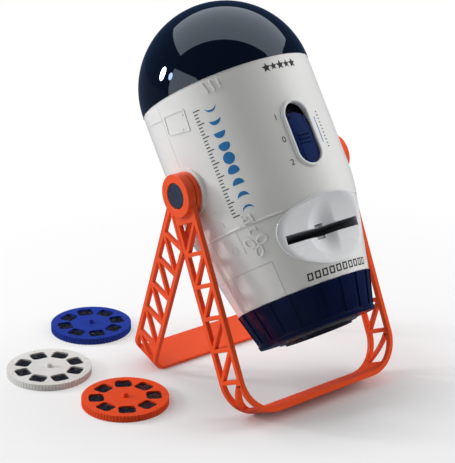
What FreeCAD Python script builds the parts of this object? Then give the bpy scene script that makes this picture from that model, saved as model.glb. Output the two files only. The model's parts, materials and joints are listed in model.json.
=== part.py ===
"""Table-top planetarium projector on a folding lattice stand, with three slide discs.

The projector itself is modelled along its own axis: the origin is the tilt pivot, +Z runs
to the dome, -Y is the switch side and X is the pivot axis. Each stand frame is modelled
hanging straight down from the same pivot. Placements then lean them to the stored pose.
The row's origin is the middle of the front foot's edge on the table.
"""
import FreeCAD, Part
import math
import os
import Sketcher

Vector = FreeCAD.Vector
Rotation = FreeCAD.Rotation
Placement = FreeCAD.Placement

SIZES = {
    # stored pose
    "body_tilt": 34.2,
    "front_lean": 25.0,
    "rear_lean": 19.7,
    # projector casing
    "overshoot": 1.0,
    "fit_gap": 0.2,
    "running_gap": 0.3,
    "body_radius": 63.6,
    "casing_wall": 2.2,
    "rim_height": 67.5,
    "shoulder_depth": 26.6,
    "shoulder_blend": 120.0,
    "tail_depth": 92.2,
    "tail_radius": 49.8,
    "tail_wall": 2.2,
    "seam_depth": 39.0,
    "seam_width": 1.2,
    "seam_cut": 0.5,
    "parting_gap": 0.3,
    "line_width": 0.8,
    "line_cut": 0.4,
    "panel_line_depth": 67.2,
    "panel_line_angle": 51.3,
    "panel_line_back": 20.0,
    "short_line_top": 39.6,
    "short_line_low": 55.9,
    "short_line_angle": 66.2,
    "ledge_drop": 9.0,
    "ledge_height": 2.0,
    "ledge_width": 3.2,
    # dome and star lamp
    "dome_proud": 0.3,
    "dome_wall": 2.4,
    "dome_lip": 4.0,
    "dome_lip_wall": 1.6,
    "dome_rim_height": 3.0,
    "seat_wall": 2.0,
    "globe_inset": 9.6,
    "globe_wall": 1.2,
    "globe_flange": 2.5,
    "star_radius": 0.8,
    "post_radius": 6.0,
    "post_height": 2.5,
    "lamp_board_radius": 10.0,
    "board_wall": 1.6,
    "lamp_radius": 2.5,
    "lamp_height": 5.0,
    # tilt pivot and hubs
    "pin_radius": 6.0,
    "pin_clearance": 0.06,
    "pin_flange_radius": 10.0,
    "pin_flange_wall": 2.0,
    "pin_neck_radius": 8.0,
    "collar_radius": 17.5,
    "collar_proud": 0.7,
    "hub_radius": 15.5,
    "cap_radius": 9.0,
    "cap_wall": 2.2,
    "cap_plug_radius": 3.0,
    "cap_plug_length": 7.0,
    "cap_gap": 0.3,
    "cap_sink": 0.4,
    "washer_radius": 14.0,
    "washer_wall": 0.5,
    "hub_gap": 0.1,
    # stand frames
    "front_leg": 164.7,
    "front_half_width": 12.8,
    "front_wall": 3.8,
    "front_hub_wall": 6.8,
    "front_corner": 28.0,
    "rear_half_width": 13.6,
    "rear_wall": 3.4,
    "rear_hub_wall": 4.1,
    "rear_corner": 15.0,
    "hub_clearance": 0.9,
    "rail_width": 3.8,
    "bar_width": 3.0,
    "first_bar": 19.2,
    "bay_length": 23.35,
    "foot_flat": 1.5,
    # switch
    "switch_middle": 9.7,
    "switch_length": 45.4,
    "switch_width": 19.0,
    "switch_rim_width": 2.4,
    "switch_rim_proud": 1.3,
    "switch_spigot": 1.1,
    "knob_length": 36.8,
    "knob_gap": 0.3,
    "knob_sink": 0.4,
    "spigot_reach": 1.0,
    "knob_flange": 2.2,
    "knob_flange_wall": 1.6,
    "knob_rib_proud": 0.8,
    "knob_rib_width": 1.0,
    "knob_rib_length": 9.0,
    "knob_rib_pitch": 3.0,
    "lever_width": 2.6,
    "lever_depth": 1.4,
    "contact_length": 18.0,
    "contact_width": 8.0,
    "contact_depth": 2.2,
    "contact_gap": 0.4,
    "switch_board_width": 46.4,
    "switch_travel": 8.2,
    # disc slot
    "slot_rise": 34.6,
    "slot_length": 66.0,
    "slot_height": 6.3,
    "notch_width": 7.5,
    "notch_height": 10.6,
    "plate_rise": 5.6,
    "plate_half_width": 38.8,
    "plate_top": 18.0,
    "plate_bottom": 30.7,
    "plate_shoulder": 14.0,
    "plate_side": 26.0,
    "plate_proud": 0.8,
    "plate_lap": 0.7,
    "plate_wall": 2.0,
    "trough_radius": 28.3,
    "trough_sink": 18.6,
    "trough_drop": 3.9,
    "grip_half_width": 22.0,
    "grip_half_height": 20.5,
    "grip_bulge": 12.0,
    "grip_sink": 3.0,
    "disc_play": 0.5,
    "gate_wall": 1.8,
    "gate_offset": 21.0,
    "gate_aperture": 7.0,
    # light engine
    "tube_radius": 20.0,
    "tube_wall": 2.0,
    "tube_length": 28.0,
    "condenser_radius": 17.8,
    "condenser_curve": 26.0,
    "condenser_edge": 1.8,
    "condenser_rise": 15.6,
    "beam_lamp_radius": 4.0,
    "beam_lamp_height": 6.4,
    "beam_lamp_base": 5.0,
    # lens focus
    "ring_gap": 0.4,
    "ring_proud": 0.85,
    "ring_bottom_radius": 42.9,
    "ring_height": 27.6,
    "ring_flange_height": 3.0,
    "ring_flange_proud": 0.7,
    "ring_wall": 2.4,
    "ring_floor": 2.6,
    "channel_depth": 0.8,
    "channel_angle": 9.0,
    "channel_count": 20,
    "channel_end": 1.2,
    "collar_height": 25.0,
    "helix_collar_wall": 2.6,
    "helix_pitch": 24.0,
    "focus_angle": 120.0,
    "follower_radius": 1.5,
    "follower_gap": 0.25,
    "follower_proud": 2.0,
    "follower_drop": 11.8,
    "sleeve_radius": 27.92,
    "sleeve_clearance": 0.08,
    "sleeve_wall": 2.42,
    "sleeve_flange": 33.0,
    "nut_lap": 1.5,
    "nut_height": 1.5,
    "barrel_gap": 0.3,
    "barrel_bore": 22.3,
    "barrel_above": 8.0,
    "barrel_below": 19.4,
    "lens_curve": 48.0,
    "lens_edge": 2.0,
    "lens_inset": 10.4,
    "retainer_wall": 4.0,
    "retainer_height": 3.0,
    # power
    "battery_radius": 7.1,
    "battery_length": 49.5,
    "battery_pitch": 16.0,
    "battery_sink": 18.1,
    "battery_count": 3,
    "box_half_width": 26.0,
    "box_depth": 27.1,
    "box_low": -19.6,
    "box_high": 36.6,
    "box_wall": 1.6,
    "door_half_width": 30.0,
    "door_low": -25.0,
    "door_high": 47.0,
    "contact_wall": 0.5,
    "contact_inset": 1.0,
    "contact_room": 1.6,
    "nub_radius": 2.7,
    "nub_height": 1.0,
    "door_screw_height": 42.0,
    # screws
    "screw_radius": 1.4,
    "screw_head": 3.0,
    "screw_head_wall": 1.8,
    "screw_clearance": 0.1,
    "casing_screw_length": 22.0,
    "casing_screw_seat": 12.0,
    "boss_radius": 4.5,
    "upper_boss_x": 45.0,
    "upper_boss_drop": 17.5,
    "lower_boss_x": 38.0,
    "lower_boss_depth": 72.0,
    # slide discs
    "disc_radius": 31.75,
    "disc_wall": 5.0,
    "knurl_count": 80,
    "knurl_depth": 0.7,
    "window_count": 8,
    "window_width": 12.6,
    "window_height": 11.2,
    "window_corner": 3.0,
    "window_radius": 20.9,
    "stud_radius": 29.4,
    "stud_hole": 0.55,
    "stud_hole_depth": 0.6,
    "film_wall": 0.6,
    "film_depth": 1.2,
    "disc_pin_radius": 2.6,
    "disc_pin_tip": 1.8,
    "disc_pin_height": 3.0,
    "blue_disc_x": -56.7,
    "blue_disc_y": 195.1,
    "blue_disc_turn": 23.0,
    "white_disc_x": -127.4,
    "white_disc_y": 148.0,
    "white_disc_turn": 34.0,
    "orange_disc_x": -111.9,
    "orange_disc_y": 72.2,
    "orange_disc_turn": 13.0,
}

doc = FreeCAD.newDocument("planetarium_projector")
sheet = doc.addObject("Spreadsheet::Sheet", "sizes")
for row, (alias, number) in enumerate(SIZES.items(), start=1):
    sheet.set(f"A{row}", str(number))
    sheet.setAlias(f"A{row}", alias)
doc.recompute()

NODES = []


def size(expression):
    """The value of an expression over the sheet, such as 'body_radius - casing_wall'."""
    return float(sheet.evalExpression(str(expression)))


def linked(expression):
    """The same expression as another object writes it, with the sheet's name before each alias."""
    words = []
    word = ""
    for letter in str(expression) + " ":
        if letter.isalnum() or letter == "_":
            word += letter
            continue
        words.append(f"sizes.{word}" if word in SIZES else word)
        words.append(letter)
        word = ""
    return "".join(words).strip()


def bind(item, **properties):
    """Tie properties of an object to expressions over the sheet."""
    for name, expression in properties.items():
        item.setExpression(name, linked(expression))
    return item


def node(item, label, place=None):
    """Name a finished sub-part, put it where it belongs and list it for export."""
    item.Label = label
    if place is not None:
        item.Placement = place
    NODES.append(item)
    return item


# ---- Sketches and solids bound to the sheet --------------------------------------------------


def plane_of(body, role):
    """One of a body's own origin planes."""
    return [plane for plane in body.Origin.OriginFeatures if plane.Role == role][0]


def sketch_on(body, role, offset="0"):
    """A sketch on an origin plane of the body, moved along the plane's normal."""
    sketch = body.newObject("Sketcher::SketchObject", "outline")
    sketch.AttachmentSupport = [(plane_of(body, role), "")]
    sketch.MapMode = "FlatFace"
    sketch.AttachmentOffset = Placement(Vector(0, 0, size(offset)), Rotation())
    sketch.setExpression("AttachmentOffset.Base.z", linked(offset))
    doc.recompute()
    return sketch


def free_sketch():
    """A sketch of its own in the XZ plane, for Part features."""
    sketch = doc.addObject("Sketcher::SketchObject", "outline")
    sketch.Placement = Placement(Vector(), Rotation(Vector(1, 0, 0), 90))
    return sketch


def fix_point(sketch, edge, end, x, y):
    """Hold one end of an edge at (x, y), both expressions."""
    for kind, axis, expression in (("DistanceX", -2, x), ("DistanceY", -1, y)):
        if expression == "0":
            sketch.addConstraint(Sketcher.Constraint("PointOnObject", edge, end, axis))
            continue
        rule = Sketcher.Constraint(kind, -1, 1, edge, end, size(expression))
        index = sketch.addConstraint(rule)
        sketch.setExpression(f"Constraints[{index}]", linked(expression))


def arc_between(start, end, radius, turn):
    """The minor arc between two points. turn is +1 where it runs counter-clockwise."""
    middle = (start + end) * 0.5
    chord = end - start
    left = Vector(-chord.y, chord.x, 0).normalize()
    rise = math.sqrt(max(radius ** 2 - (chord.Length / 2) ** 2, 0))
    centre = middle + left * rise * turn
    first, last = (start, end) if turn > 0 else (end, start)
    angles = [math.atan2(p.y - centre.y, p.x - centre.x) for p in (first, last)]
    circle = Part.Circle(centre, Vector(0, 0, 1), radius)
    return Part.ArcOfCircle(circle, angles[0], angles[1])


def draw_loop(sketch, corners):
    """Close a loop through corners (x, y) or (x, y, radius, turn).

    A corner with a radius starts an arc to the next corner, and one without starts a line.
    """
    spots = [Vector(size(corner[0]), size(corner[1]), 0) for corner in corners]
    ends = []
    for index, corner in enumerate(corners):
        start = spots[index]
        stop = spots[(index + 1) % len(spots)]
        if len(corner) == 2:
            edge = sketch.addGeometry(Part.LineSegment(start, stop))
            ends.append((edge, 1, 2))
            continue
        radius, turn = corner[2], corner[3]
        edge = sketch.addGeometry(arc_between(start, stop, size(radius), turn))
        ends.append((edge, 1, 2) if turn > 0 else (edge, 2, 1))
    for index, (edge, begin, finish) in enumerate(ends):
        after = ends[(index + 1) % len(ends)]
        sketch.addConstraint(Sketcher.Constraint("Coincident", edge, finish, after[0], after[1]))
        fix_point(sketch, edge, begin, corners[index][0], corners[index][1])
    for (edge, begin, finish), corner in zip(ends, corners):
        if len(corner) == 4:
            rule = Sketcher.Constraint("Radius", edge, size(corner[2]))
            index = sketch.addConstraint(rule)
            sketch.setExpression(f"Constraints[{index}]", linked(corner[2]))


def draw_circle(sketch, x, y, radius):
    """A full circle about (x, y)."""
    centre = Vector(size(x), size(y), 0)
    edge = sketch.addGeometry(Part.Circle(centre, Vector(0, 0, 1), size(radius)))
    fix_point(sketch, edge, 3, x, y)
    index = sketch.addConstraint(Sketcher.Constraint("Radius", edge, size(radius)))
    sketch.setExpression(f"Constraints[{index}]", linked(radius))


def draw_box(sketch, low_x, high_x, low_y, high_y):
    """A rectangle between two corners."""
    draw_loop(sketch, [(low_x, low_y), (high_x, low_y), (high_x, high_y), (low_x, high_y)])


def draw_stadium(sketch, middle, length, width):
    """A slot with round ends, upright about x = 0."""
    half = f"(({width}) / 2)"
    low = f"({middle} - ({length}) / 2 + {half})"
    high = f"({middle} + ({length}) / 2 - {half})"
    draw_loop(sketch, [
        (half, low),
        (half, high, half, 1),
        ("0", f"{high} + {half}", half, 1),
        (f"-{half}", high),
        (f"-{half}", low, half, 1),
        ("0", f"{low} - {half}", half, 1),
    ])


def egg_corner(half_width, reach, corner):
    """Where a corner arc beside the widest line meets the arc across the end, and that arc's radius."""
    centre = f"({half_width} - {corner})"
    across = f"(({centre} ^ 2 + {reach} ^ 2 - {corner} ^ 2) / (2 * ({reach} - {corner})))"
    x = f"({centre} * {across} / ({across} - {corner}))"
    y = f"(({across} - {reach}) * {corner} / ({across} - {corner}))"
    return x, y, across


def draw_egg(sketch, inset):
    """Outline of the slot plate about x = 0, drawn in all round by an inset."""
    half_width = f"(plate_half_width - ({inset}))"
    shoulder = f"(plate_shoulder - ({inset}))"
    side = f"(plate_side - ({inset}))"
    high_x, high_y, top_arc = egg_corner(half_width, f"(plate_top - ({inset}))", shoulder)
    low_x, low_y, bottom_arc = egg_corner(half_width, f"(plate_bottom - ({inset}))", side)
    draw_loop(sketch, [
        (half_width, f"-{PLATE_DEPTH}", shoulder, 1),
        (high_x, f"-{PLATE_DEPTH} + {high_y}", top_arc, 1),
        (f"-{high_x}", f"-{PLATE_DEPTH} + {high_y}", shoulder, 1),
        (f"-{half_width}", f"-{PLATE_DEPTH}", side, 1),
        (f"-{low_x}", f"-{PLATE_DEPTH} - {low_y}", bottom_arc, 1),
        (low_x, f"-{PLATE_DEPTH} - {low_y}", side, 1),
    ])


def draw_window(sketch):
    """A slide disc's window, with rounded corners."""
    x = "(window_width / 2)"
    inner_x = f"({x} - window_corner)"
    low = "(window_radius - window_height / 2)"
    high = "(window_radius + window_height / 2)"
    draw_loop(sketch, [
        (inner_x, low, "window_corner", 1),
        (x, f"{low} + window_corner"),
        (x, f"{high} - window_corner", "window_corner", 1),
        (inner_x, high),
        (f"-{inner_x}", high, "window_corner", 1),
        (f"-{x}", f"{high} - window_corner"),
        (f"-{x}", f"{low} + window_corner", "window_corner", 1),
        (f"-{inner_x}", low),
    ])


def new_body(name):
    return doc.addObject("PartDesign::Body", name)


def revolve(body, sketch, angle=360, flip=False):
    """Turn a profile about the body's Z axis."""
    feature = body.newObject("PartDesign::Revolution", "turned")
    feature.Profile = sketch
    feature.ReferenceAxis = (sketch, ["V_Axis"])
    feature.Angle = angle
    feature.Reversed = flip
    return feature


def groove(body, sketch, angle=360, flip=False, centred=False):
    """Cut a profile away about the body's Z axis."""
    feature = body.newObject("PartDesign::Groove", "turned_cut")
    feature.Profile = sketch
    feature.ReferenceAxis = (sketch, ["V_Axis"])
    feature.Angle = angle
    feature.Reversed = flip
    feature.Midplane = centred
    return feature


def pad(body, sketch, length, flip=False, centred=False):
    """Raise a sketch by a length."""
    feature = body.newObject("PartDesign::Pad", "raised")
    feature.Profile = sketch
    feature.Reversed = flip
    feature.Midplane = centred
    return bind(feature, Length=length)


def pad_to_wall(body, sketch, flip=False):
    """Raise a sketch until it meets the body."""
    feature = body.newObject("PartDesign::Pad", "raised")
    feature.Profile = sketch
    feature.Reversed = flip
    feature.Type = "UpToFirst"
    return feature


def pocket(body, sketch, length=None, flip=False, centred=False):
    """Sink a sketch by a length, or right through where no length is given."""
    feature = body.newObject("PartDesign::Pocket", "sunk")
    feature.Profile = sketch
    feature.Reversed = flip
    feature.Midplane = centred
    if length is None:
        feature.Type = "ThroughAll"
        return feature
    return bind(feature, Length=length)


def mirror_x(body, feature):
    """Repeat a feature on the other side of the YZ plane."""
    copy = body.newObject("PartDesign::Mirrored", "mirrored")
    copy.Originals = [feature]
    copy.MirrorPlane = (plane_of(body, "YZ_Plane"), [""])
    body.Tip = copy
    return copy


def polar(body, feature, count):
    """Repeat a feature evenly about the body's Z axis."""
    copy = body.newObject("PartDesign::PolarPattern", "round_pattern")
    copy.Originals = [feature]
    copy.Axis = (plane_of(body, "Z_Axis"), [""])
    copy.Angle = 360
    bind(copy, Occurrences=count)
    body.Tip = copy
    return copy


def cylinder(radius, low, high):
    """A round bar along Z between two heights."""
    item = doc.addObject("Part::Cylinder", "bar")
    bind(item, Radius=radius, Height=f"({high}) - ({low})")
    item.Placement = Placement(Vector(0, 0, size(low)), Rotation())
    item.setExpression("Placement.Base.z", linked(low))
    return item


def cross_cylinder(radius, low, high, y="0", z="0", side=1):
    """A round bar along X, between two distances out on one side."""
    item = doc.addObject("Part::Cylinder", "cross_bar")
    bind(item, Radius=radius, Height=f"({high}) - ({low})")
    turn = Rotation(Vector(0, 1, 0), 90 * side)
    item.Placement = Placement(Vector(side * size(low), size(y), size(z)), turn)
    item.setExpression("Placement.Base.x", linked(f"{side} * ({low})"))
    item.setExpression("Placement.Base.y", linked(y))
    item.setExpression("Placement.Base.z", linked(z))
    return item


def deep_cylinder(radius, low, high, x="0", z="0"):
    """A round bar along Y between two depths."""
    item = doc.addObject("Part::Cylinder", "deep_bar")
    bind(item, Radius=radius, Height=f"({high}) - ({low})")
    item.Placement = Placement(Vector(size(x), size(low), size(z)), Rotation(Vector(1, 0, 0), -90))
    item.setExpression("Placement.Base.x", linked(x))
    item.setExpression("Placement.Base.y", linked(low))
    item.setExpression("Placement.Base.z", linked(z))
    return item


def block(low_x, high_x, low_y, high_y, low_z, high_z):
    """A rectangular block between six faces."""
    item = doc.addObject("Part::Box", "block")
    bind(item, Length=f"({high_x}) - ({low_x})", Width=f"({high_y}) - ({low_y})",
         Height=f"({high_z}) - ({low_z})")
    item.Placement = Placement(Vector(size(low_x), size(low_y), size(low_z)), Rotation())
    item.setExpression("Placement.Base.x", linked(low_x))
    item.setExpression("Placement.Base.y", linked(low_y))
    item.setExpression("Placement.Base.z", linked(low_z))
    return item


def prism(draw, *sizes_drawn, low="0", high="1"):
    """A sketch in the XZ plane, raised towards -Y between two distances out."""
    sketch = free_sketch()
    draw(sketch, *sizes_drawn)
    item = doc.addObject("Part::Extrusion", "prism")
    item.Base = sketch
    item.DirMode = "Custom"
    item.Dir = Vector(0, -1, 0)
    item.Solid = True
    bind(item, LengthFwd=high, LengthRev=f"-({low})")
    return item


def cut(base, tool):
    item = doc.addObject("Part::Cut", "cut")
    item.Base = base
    item.Tool = tool
    return item


def common(first, second):
    item = doc.addObject("Part::Common", "common")
    item.Base = first
    item.Tool = second
    return item


def fuse(*pieces):
    item = doc.addObject("Part::MultiFuse", "fused")
    item.Shapes = list(pieces)
    item.Refine = True
    return item


def group(*pieces):
    item = doc.addObject("Part::Compound", "group")
    item.Links = list(pieces)
    return item


def turned(corners):
    """A full turn of a profile about Z, as a Part feature."""
    sketch = free_sketch()
    draw_loop(sketch, corners)
    item = doc.addObject("Part::Revolution", "turning")
    item.Source = sketch
    item.Axis = Vector(0, 0, 1)
    item.Angle = 360
    item.Solid = True
    return item


# ---- Derived sizes -----------------------------------------------------------------------

TAPER_TAN = "((body_radius - tail_radius) / (tail_depth - shoulder_depth))"
TAPER = f"atan({TAPER_TAN})"
BLEND = f"(shoulder_blend * tan({TAPER} / 2))"
BLEND_TOP = f"(-shoulder_depth + {BLEND})"
BLEND_LOW = f"(-shoulder_depth - {BLEND} * cos({TAPER}))"
INNER_RADIUS = "(body_radius - casing_wall)"
SWITCH_REST = "(switch_middle - switch_length / 2 + knob_gap + knob_length / 2)"
RING_TOP = "(-tail_depth - ring_gap)"
RING_LOW = "(-tail_depth - ring_gap - ring_height)"
HELIX_BORE = "(sleeve_radius + sleeve_clearance)"
DOME_RADIUS = "(body_radius + dome_proud)"
REAR_HUB_FACE = "(body_radius + hub_clearance)"
WASHER_FACE = f"({REAR_HUB_FACE} + rear_hub_wall + hub_gap)"
FRONT_HUB_FACE = f"({WASHER_FACE} + washer_wall)"
PIN_FLANGE_FACE = f"(sqrt({INNER_RADIUS} ^ 2 - pin_flange_radius ^ 2) - fit_gap)"
PIN_END = f"({FRONT_HUB_FACE} + front_hub_wall - cap_sink - cap_wall)"
HUB_BORE = "(pin_radius + pin_clearance)"
SLOT_DEPTH = "(tail_depth - slot_rise)"
PLATE_DEPTH = f"({SLOT_DEPTH} - plate_rise)"
TROUGH_FLOOR = "(body_radius - trough_sink)"
FOLLOWER_DEPTH = "(tail_depth + follower_drop)"
BARREL_END = f"({FOLLOWER_DEPTH} + barrel_below)"
LENS_DEPTH = f"({BARREL_END} - lens_inset)"
LEDGE_TOP = "(rim_height - ledge_drop)"
UPPER_BOSS = "(rim_height - upper_boss_drop)"
SEAT_TOP = f"({LEDGE_TOP} + seat_wall)"
GLOBE_RADIUS = "(body_radius - globe_inset)"
FOCUS_TRAVEL = "(helix_pitch * focus_angle / 360)"
KNOB_FLANGE_FACE = f"({INNER_RADIUS} - spigot_reach - running_gap)"
CONTACT_FACE = f"({KNOB_FLANGE_FACE} - knob_flange_wall - contact_gap)"
BAY_COUNT = 5
LAST_BAR = f"(first_bar + {BAY_COUNT} * bay_length)"
STAR_COUNT = 24
BARREL_RADIUS = "(sleeve_radius - sleeve_wall - barrel_gap)"
RING_TOP_RADIUS = "(tail_radius + ring_proud)"
BATTERY_BACK = "(body_radius - battery_sink)"
BOX_FRONT = "(body_radius - box_depth)"
SKIN_NEAR = "(body_radius / 3)"
SKIN_FAR = "(1.5 * body_radius)"
BOSSES = [
    ("upper_boss_x", UPPER_BOSS),
    ("-upper_boss_x", UPPER_BOSS),
    ("lower_boss_x", "-lower_boss_depth"),
    ("-lower_boss_x", "-lower_boss_depth"),
]


def foot_trim(lean):
    return f"foot_flat * sin({lean}) * cos({lean})"


PIVOT_HEIGHT = (f"(front_leg * cos(front_lean) + front_half_width * sin(front_lean)"
                f" - {foot_trim('front_lean')})")
REAR_LEG = (f"(({PIVOT_HEIGHT} - rear_half_width * sin(rear_lean)"
            f" + {foot_trim('rear_lean')}) / cos(rear_lean))")
FRONT_FOOT = ("(front_leg * sin(front_lean) - front_half_width * cos(front_lean)"
              " + foot_flat / 2 - foot_flat * sin(front_lean) * sin(front_lean))")


def casing_radius(depth, inset="0"):
    """Radius of the tapered casing at a depth below the pivot, below the shoulder's blend."""
    return f"(body_radius - (({depth}) - shoulder_depth) * {TAPER_TAN} - ({inset}))"


pivot = Vector(0, size(FRONT_FOOT), size(PIVOT_HEIGHT))
PROJECTOR = Placement(pivot, Rotation(Vector(1, 0, 0), -size("body_tilt")))
FRONT_STAND = Placement(pivot, Rotation(Vector(1, 0, 0), -size("front_lean")))
REAR_STAND = Placement(pivot, Rotation(Vector(1, 0, 0), size("rear_lean")))


def settle(item, place):
    """Move a finished primitive, as it stands, into another frame."""
    for axis in "xyz":
        item.setExpression(f"Placement.Base.{axis}", None)
    item.Placement = place.multiply(item.Placement)


# ---- Casing ------------------------------------------------------------------------------


def casing_outside(inset):
    """Corners down the casing's outside from the dome rim, moved in towards the axis."""
    blend_in = f"{BLEND} * sin({TAPER})"
    return [
        (f"body_radius - ({inset})", "rim_height"),
        (f"body_radius - ({inset})", BLEND_TOP, "shoulder_blend", -1),
        (f"body_radius - ({inset}) - {blend_in}", BLEND_LOW),
        (f"tail_radius - ({inset})", "-tail_depth"),
    ]


def casing_profile():
    """Half-section of the casing wall, from the dome rim down the outside and back up."""
    blend_in = f"{BLEND} * sin({TAPER})"
    return casing_outside("0") + [
        (HELIX_BORE, "-tail_depth"),
        (HELIX_BORE, "-tail_depth + tail_wall"),
        (f"tail_radius - casing_wall + tail_wall * {TAPER_TAN}", "-tail_depth + tail_wall"),
        (f"{INNER_RADIUS} - {blend_in}", BLEND_LOW, "shoulder_blend", 1),
        (INNER_RADIUS, BLEND_TOP),
        (INNER_RADIUS, f"{LEDGE_TOP} - ledge_height"),
        (f"{INNER_RADIUS} - ledge_width", f"{LEDGE_TOP} - ledge_height"),
        (f"{INNER_RADIUS} - ledge_width", LEDGE_TOP),
        (INNER_RADIUS, LEDGE_TOP),
        (INNER_RADIUS, "rim_height"),
    ]


def draw_boss_axes(sketch, radius):
    """A circle on each of the four screw axes."""
    for across, height in BOSSES:
        draw_circle(sketch, across, height, radius)


def casing_half(label, front):
    """One half of the casing, with its screw bosses and its share of the pivot bores."""
    body = new_body(label)
    profile = sketch_on(body, "XZ_Plane")
    draw_loop(profile, casing_profile())
    revolve(body, profile, 180, flip=front)
    for across, height in BOSSES:
        boss = sketch_on(body, "XZ_Plane")
        draw_circle(boss, across, height, "boss_radius")
        pad_to_wall(body, boss, flip=not front)
    line = sketch_on(body, "XZ_Plane")
    line_radius = casing_radius("seam_depth")
    draw_box(line, f"{line_radius} - seam_cut", f"{line_radius} + 2 * seam_cut",
             "-seam_depth - seam_width / 2", "-seam_depth + seam_width / 2")
    groove(body, line, 180, flip=front)
    bore = sketch_on(body, "YZ_Plane")
    draw_circle(bore, "0", "0", "pin_neck_radius")
    pocket(body, bore, "4 * body_radius", centred=True)
    return body


def parting_line():
    """Thin slab round the casing's outside, where the two halves meet."""
    core = turned([("0", "rim_height")] + casing_outside("line_cut") + [("0", "-tail_depth")])
    slab = block("-body_radius - overshoot", "body_radius + overshoot",
                 "-parting_gap / 2", "parting_gap / 2",
                 "-tail_depth - overshoot", "rim_height + overshoot")
    return cut(slab, core)


def round_line(start, angle):
    """Part of the line round the casing, from a start angle about Z."""
    depth = "panel_line_depth"
    item = turned([
        (casing_radius(depth, "line_cut"), f"-{depth} - line_width / 2"),
        (casing_radius(depth, "-line_cut"), f"-{depth} - line_width / 2"),
        (casing_radius(depth, "-line_cut"), f"-{depth} + line_width / 2"),
        (casing_radius(depth, "line_cut"), f"-{depth} + line_width / 2"),
    ])
    bind(item, Angle=angle)
    settle(item, Placement(Vector(), Rotation(Vector(0, 0, 1), size(start))))
    return item


def upright_line(angle, top, low):
    """A line down the tapered part of the casing, at an angle left of the front."""
    length = f"(({low}) - ({top}))"
    middle = f"((({low}) + ({top})) / 2)"
    tool = block("-line_width / 2", "line_width / 2", "-line_cut", "line_cut",
                 f"-{length} / 2", f"{length} / 2")
    spot = Vector(0, -size(casing_radius(middle)), -size(middle))
    lean = Placement(spot, Rotation(Vector(1, 0, 0), size(TAPER)))
    settle(tool, Placement(Vector(), Rotation(Vector(0, 0, 1), -size(angle))).multiply(lean))
    return tool


def front_casing():
    body = casing_half("front_casing_blank", True)
    pilot = sketch_on(body, "XZ_Plane")
    draw_boss_axes(pilot, "screw_radius + screw_clearance / 2")
    pocket(body, pilot, "casing_screw_length - casing_screw_seat + 2 * overshoot", flip=True)
    window = sketch_on(body, "XZ_Plane")
    draw_stadium(window, "switch_middle", "switch_length + 2 * (switch_spigot + fit_gap)",
                 "switch_width + 2 * (switch_spigot + fit_gap)")
    pocket(body, window, flip=True)
    mouth = sketch_on(body, "XZ_Plane")
    draw_egg(mouth, "plate_lap - fit_gap")
    pocket(body, mouth, flip=True)
    lines = group(
        parting_line(),
        round_line("180", "90 - panel_line_angle"),
        upright_line("panel_line_angle", "panel_line_depth", "tail_depth - line_width"),
        upright_line("short_line_angle", "short_line_top", "short_line_low"))
    node(cut(body, lines), "front_casing", PROJECTOR)


def rear_casing():
    body = casing_half("rear_casing_blank", False)
    through = sketch_on(body, "XZ_Plane")
    draw_boss_axes(through, "screw_radius + screw_clearance")
    pocket(body, through, "casing_screw_seat + overshoot")
    recess = sketch_on(body, "XZ_Plane", "-casing_screw_seat")
    draw_boss_axes(recess, "screw_head + screw_clearance")
    pocket(body, recess)
    opening = sketch_on(body, "XZ_Plane")
    draw_box(opening, "-door_half_width - running_gap", "door_half_width + running_gap",
             "door_low - running_gap", "door_high + running_gap")
    pocket(body, opening)
    lines = group(parting_line(), round_line("180 - panel_line_back", "panel_line_back"))
    node(cut(body, lines), "rear_casing", PROJECTOR)


def casing_screws():
    """Four screws in their recesses at the back."""
    screws = []
    for across, height in BOSSES:
        head = deep_cylinder("screw_head", "casing_screw_seat",
                             "casing_screw_seat + screw_head_wall", across, height)
        shank = deep_cylinder("screw_radius", "casing_screw_seat - casing_screw_length",
                              "casing_screw_seat", across, height)
        screws.append(fuse(head, shank))
    node(group(*screws), "casing_screws", PROJECTOR)


# ---- Dome and star lamp --------------------------------------------------------------------


def dome_cover():
    body = new_body("dome_cover")
    profile = sketch_on(body, "XZ_Plane")
    inner = f"({DOME_RADIUS} - dome_wall)"
    lip = f"({INNER_RADIUS} - running_gap)"
    draw_loop(profile, [
        (DOME_RADIUS, "rim_height", DOME_RADIUS, 1),
        ("0", f"rim_height + {DOME_RADIUS}"),
        ("0", f"rim_height + {inner}", inner, -1),
        (f"sqrt({inner} ^ 2 - dome_rim_height ^ 2)", "rim_height + dome_rim_height"),
        (f"{lip} - dome_lip_wall", "rim_height + dome_rim_height"),
        (f"{lip} - dome_lip_wall", "rim_height - dome_lip"),
        (lip, "rim_height - dome_lip"),
        (lip, "rim_height"),
    ])
    revolve(body, profile)
    node(body, "dome_cover", PROJECTOR)


def dome_seat():
    plate = cylinder(f"{INNER_RADIUS} - fit_gap", LEDGE_TOP, SEAT_TOP)
    post = cylinder("post_radius", SEAT_TOP, f"{SEAT_TOP} + post_height")
    node(fuse(plate, post), "dome_seat", PROJECTOR)


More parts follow.
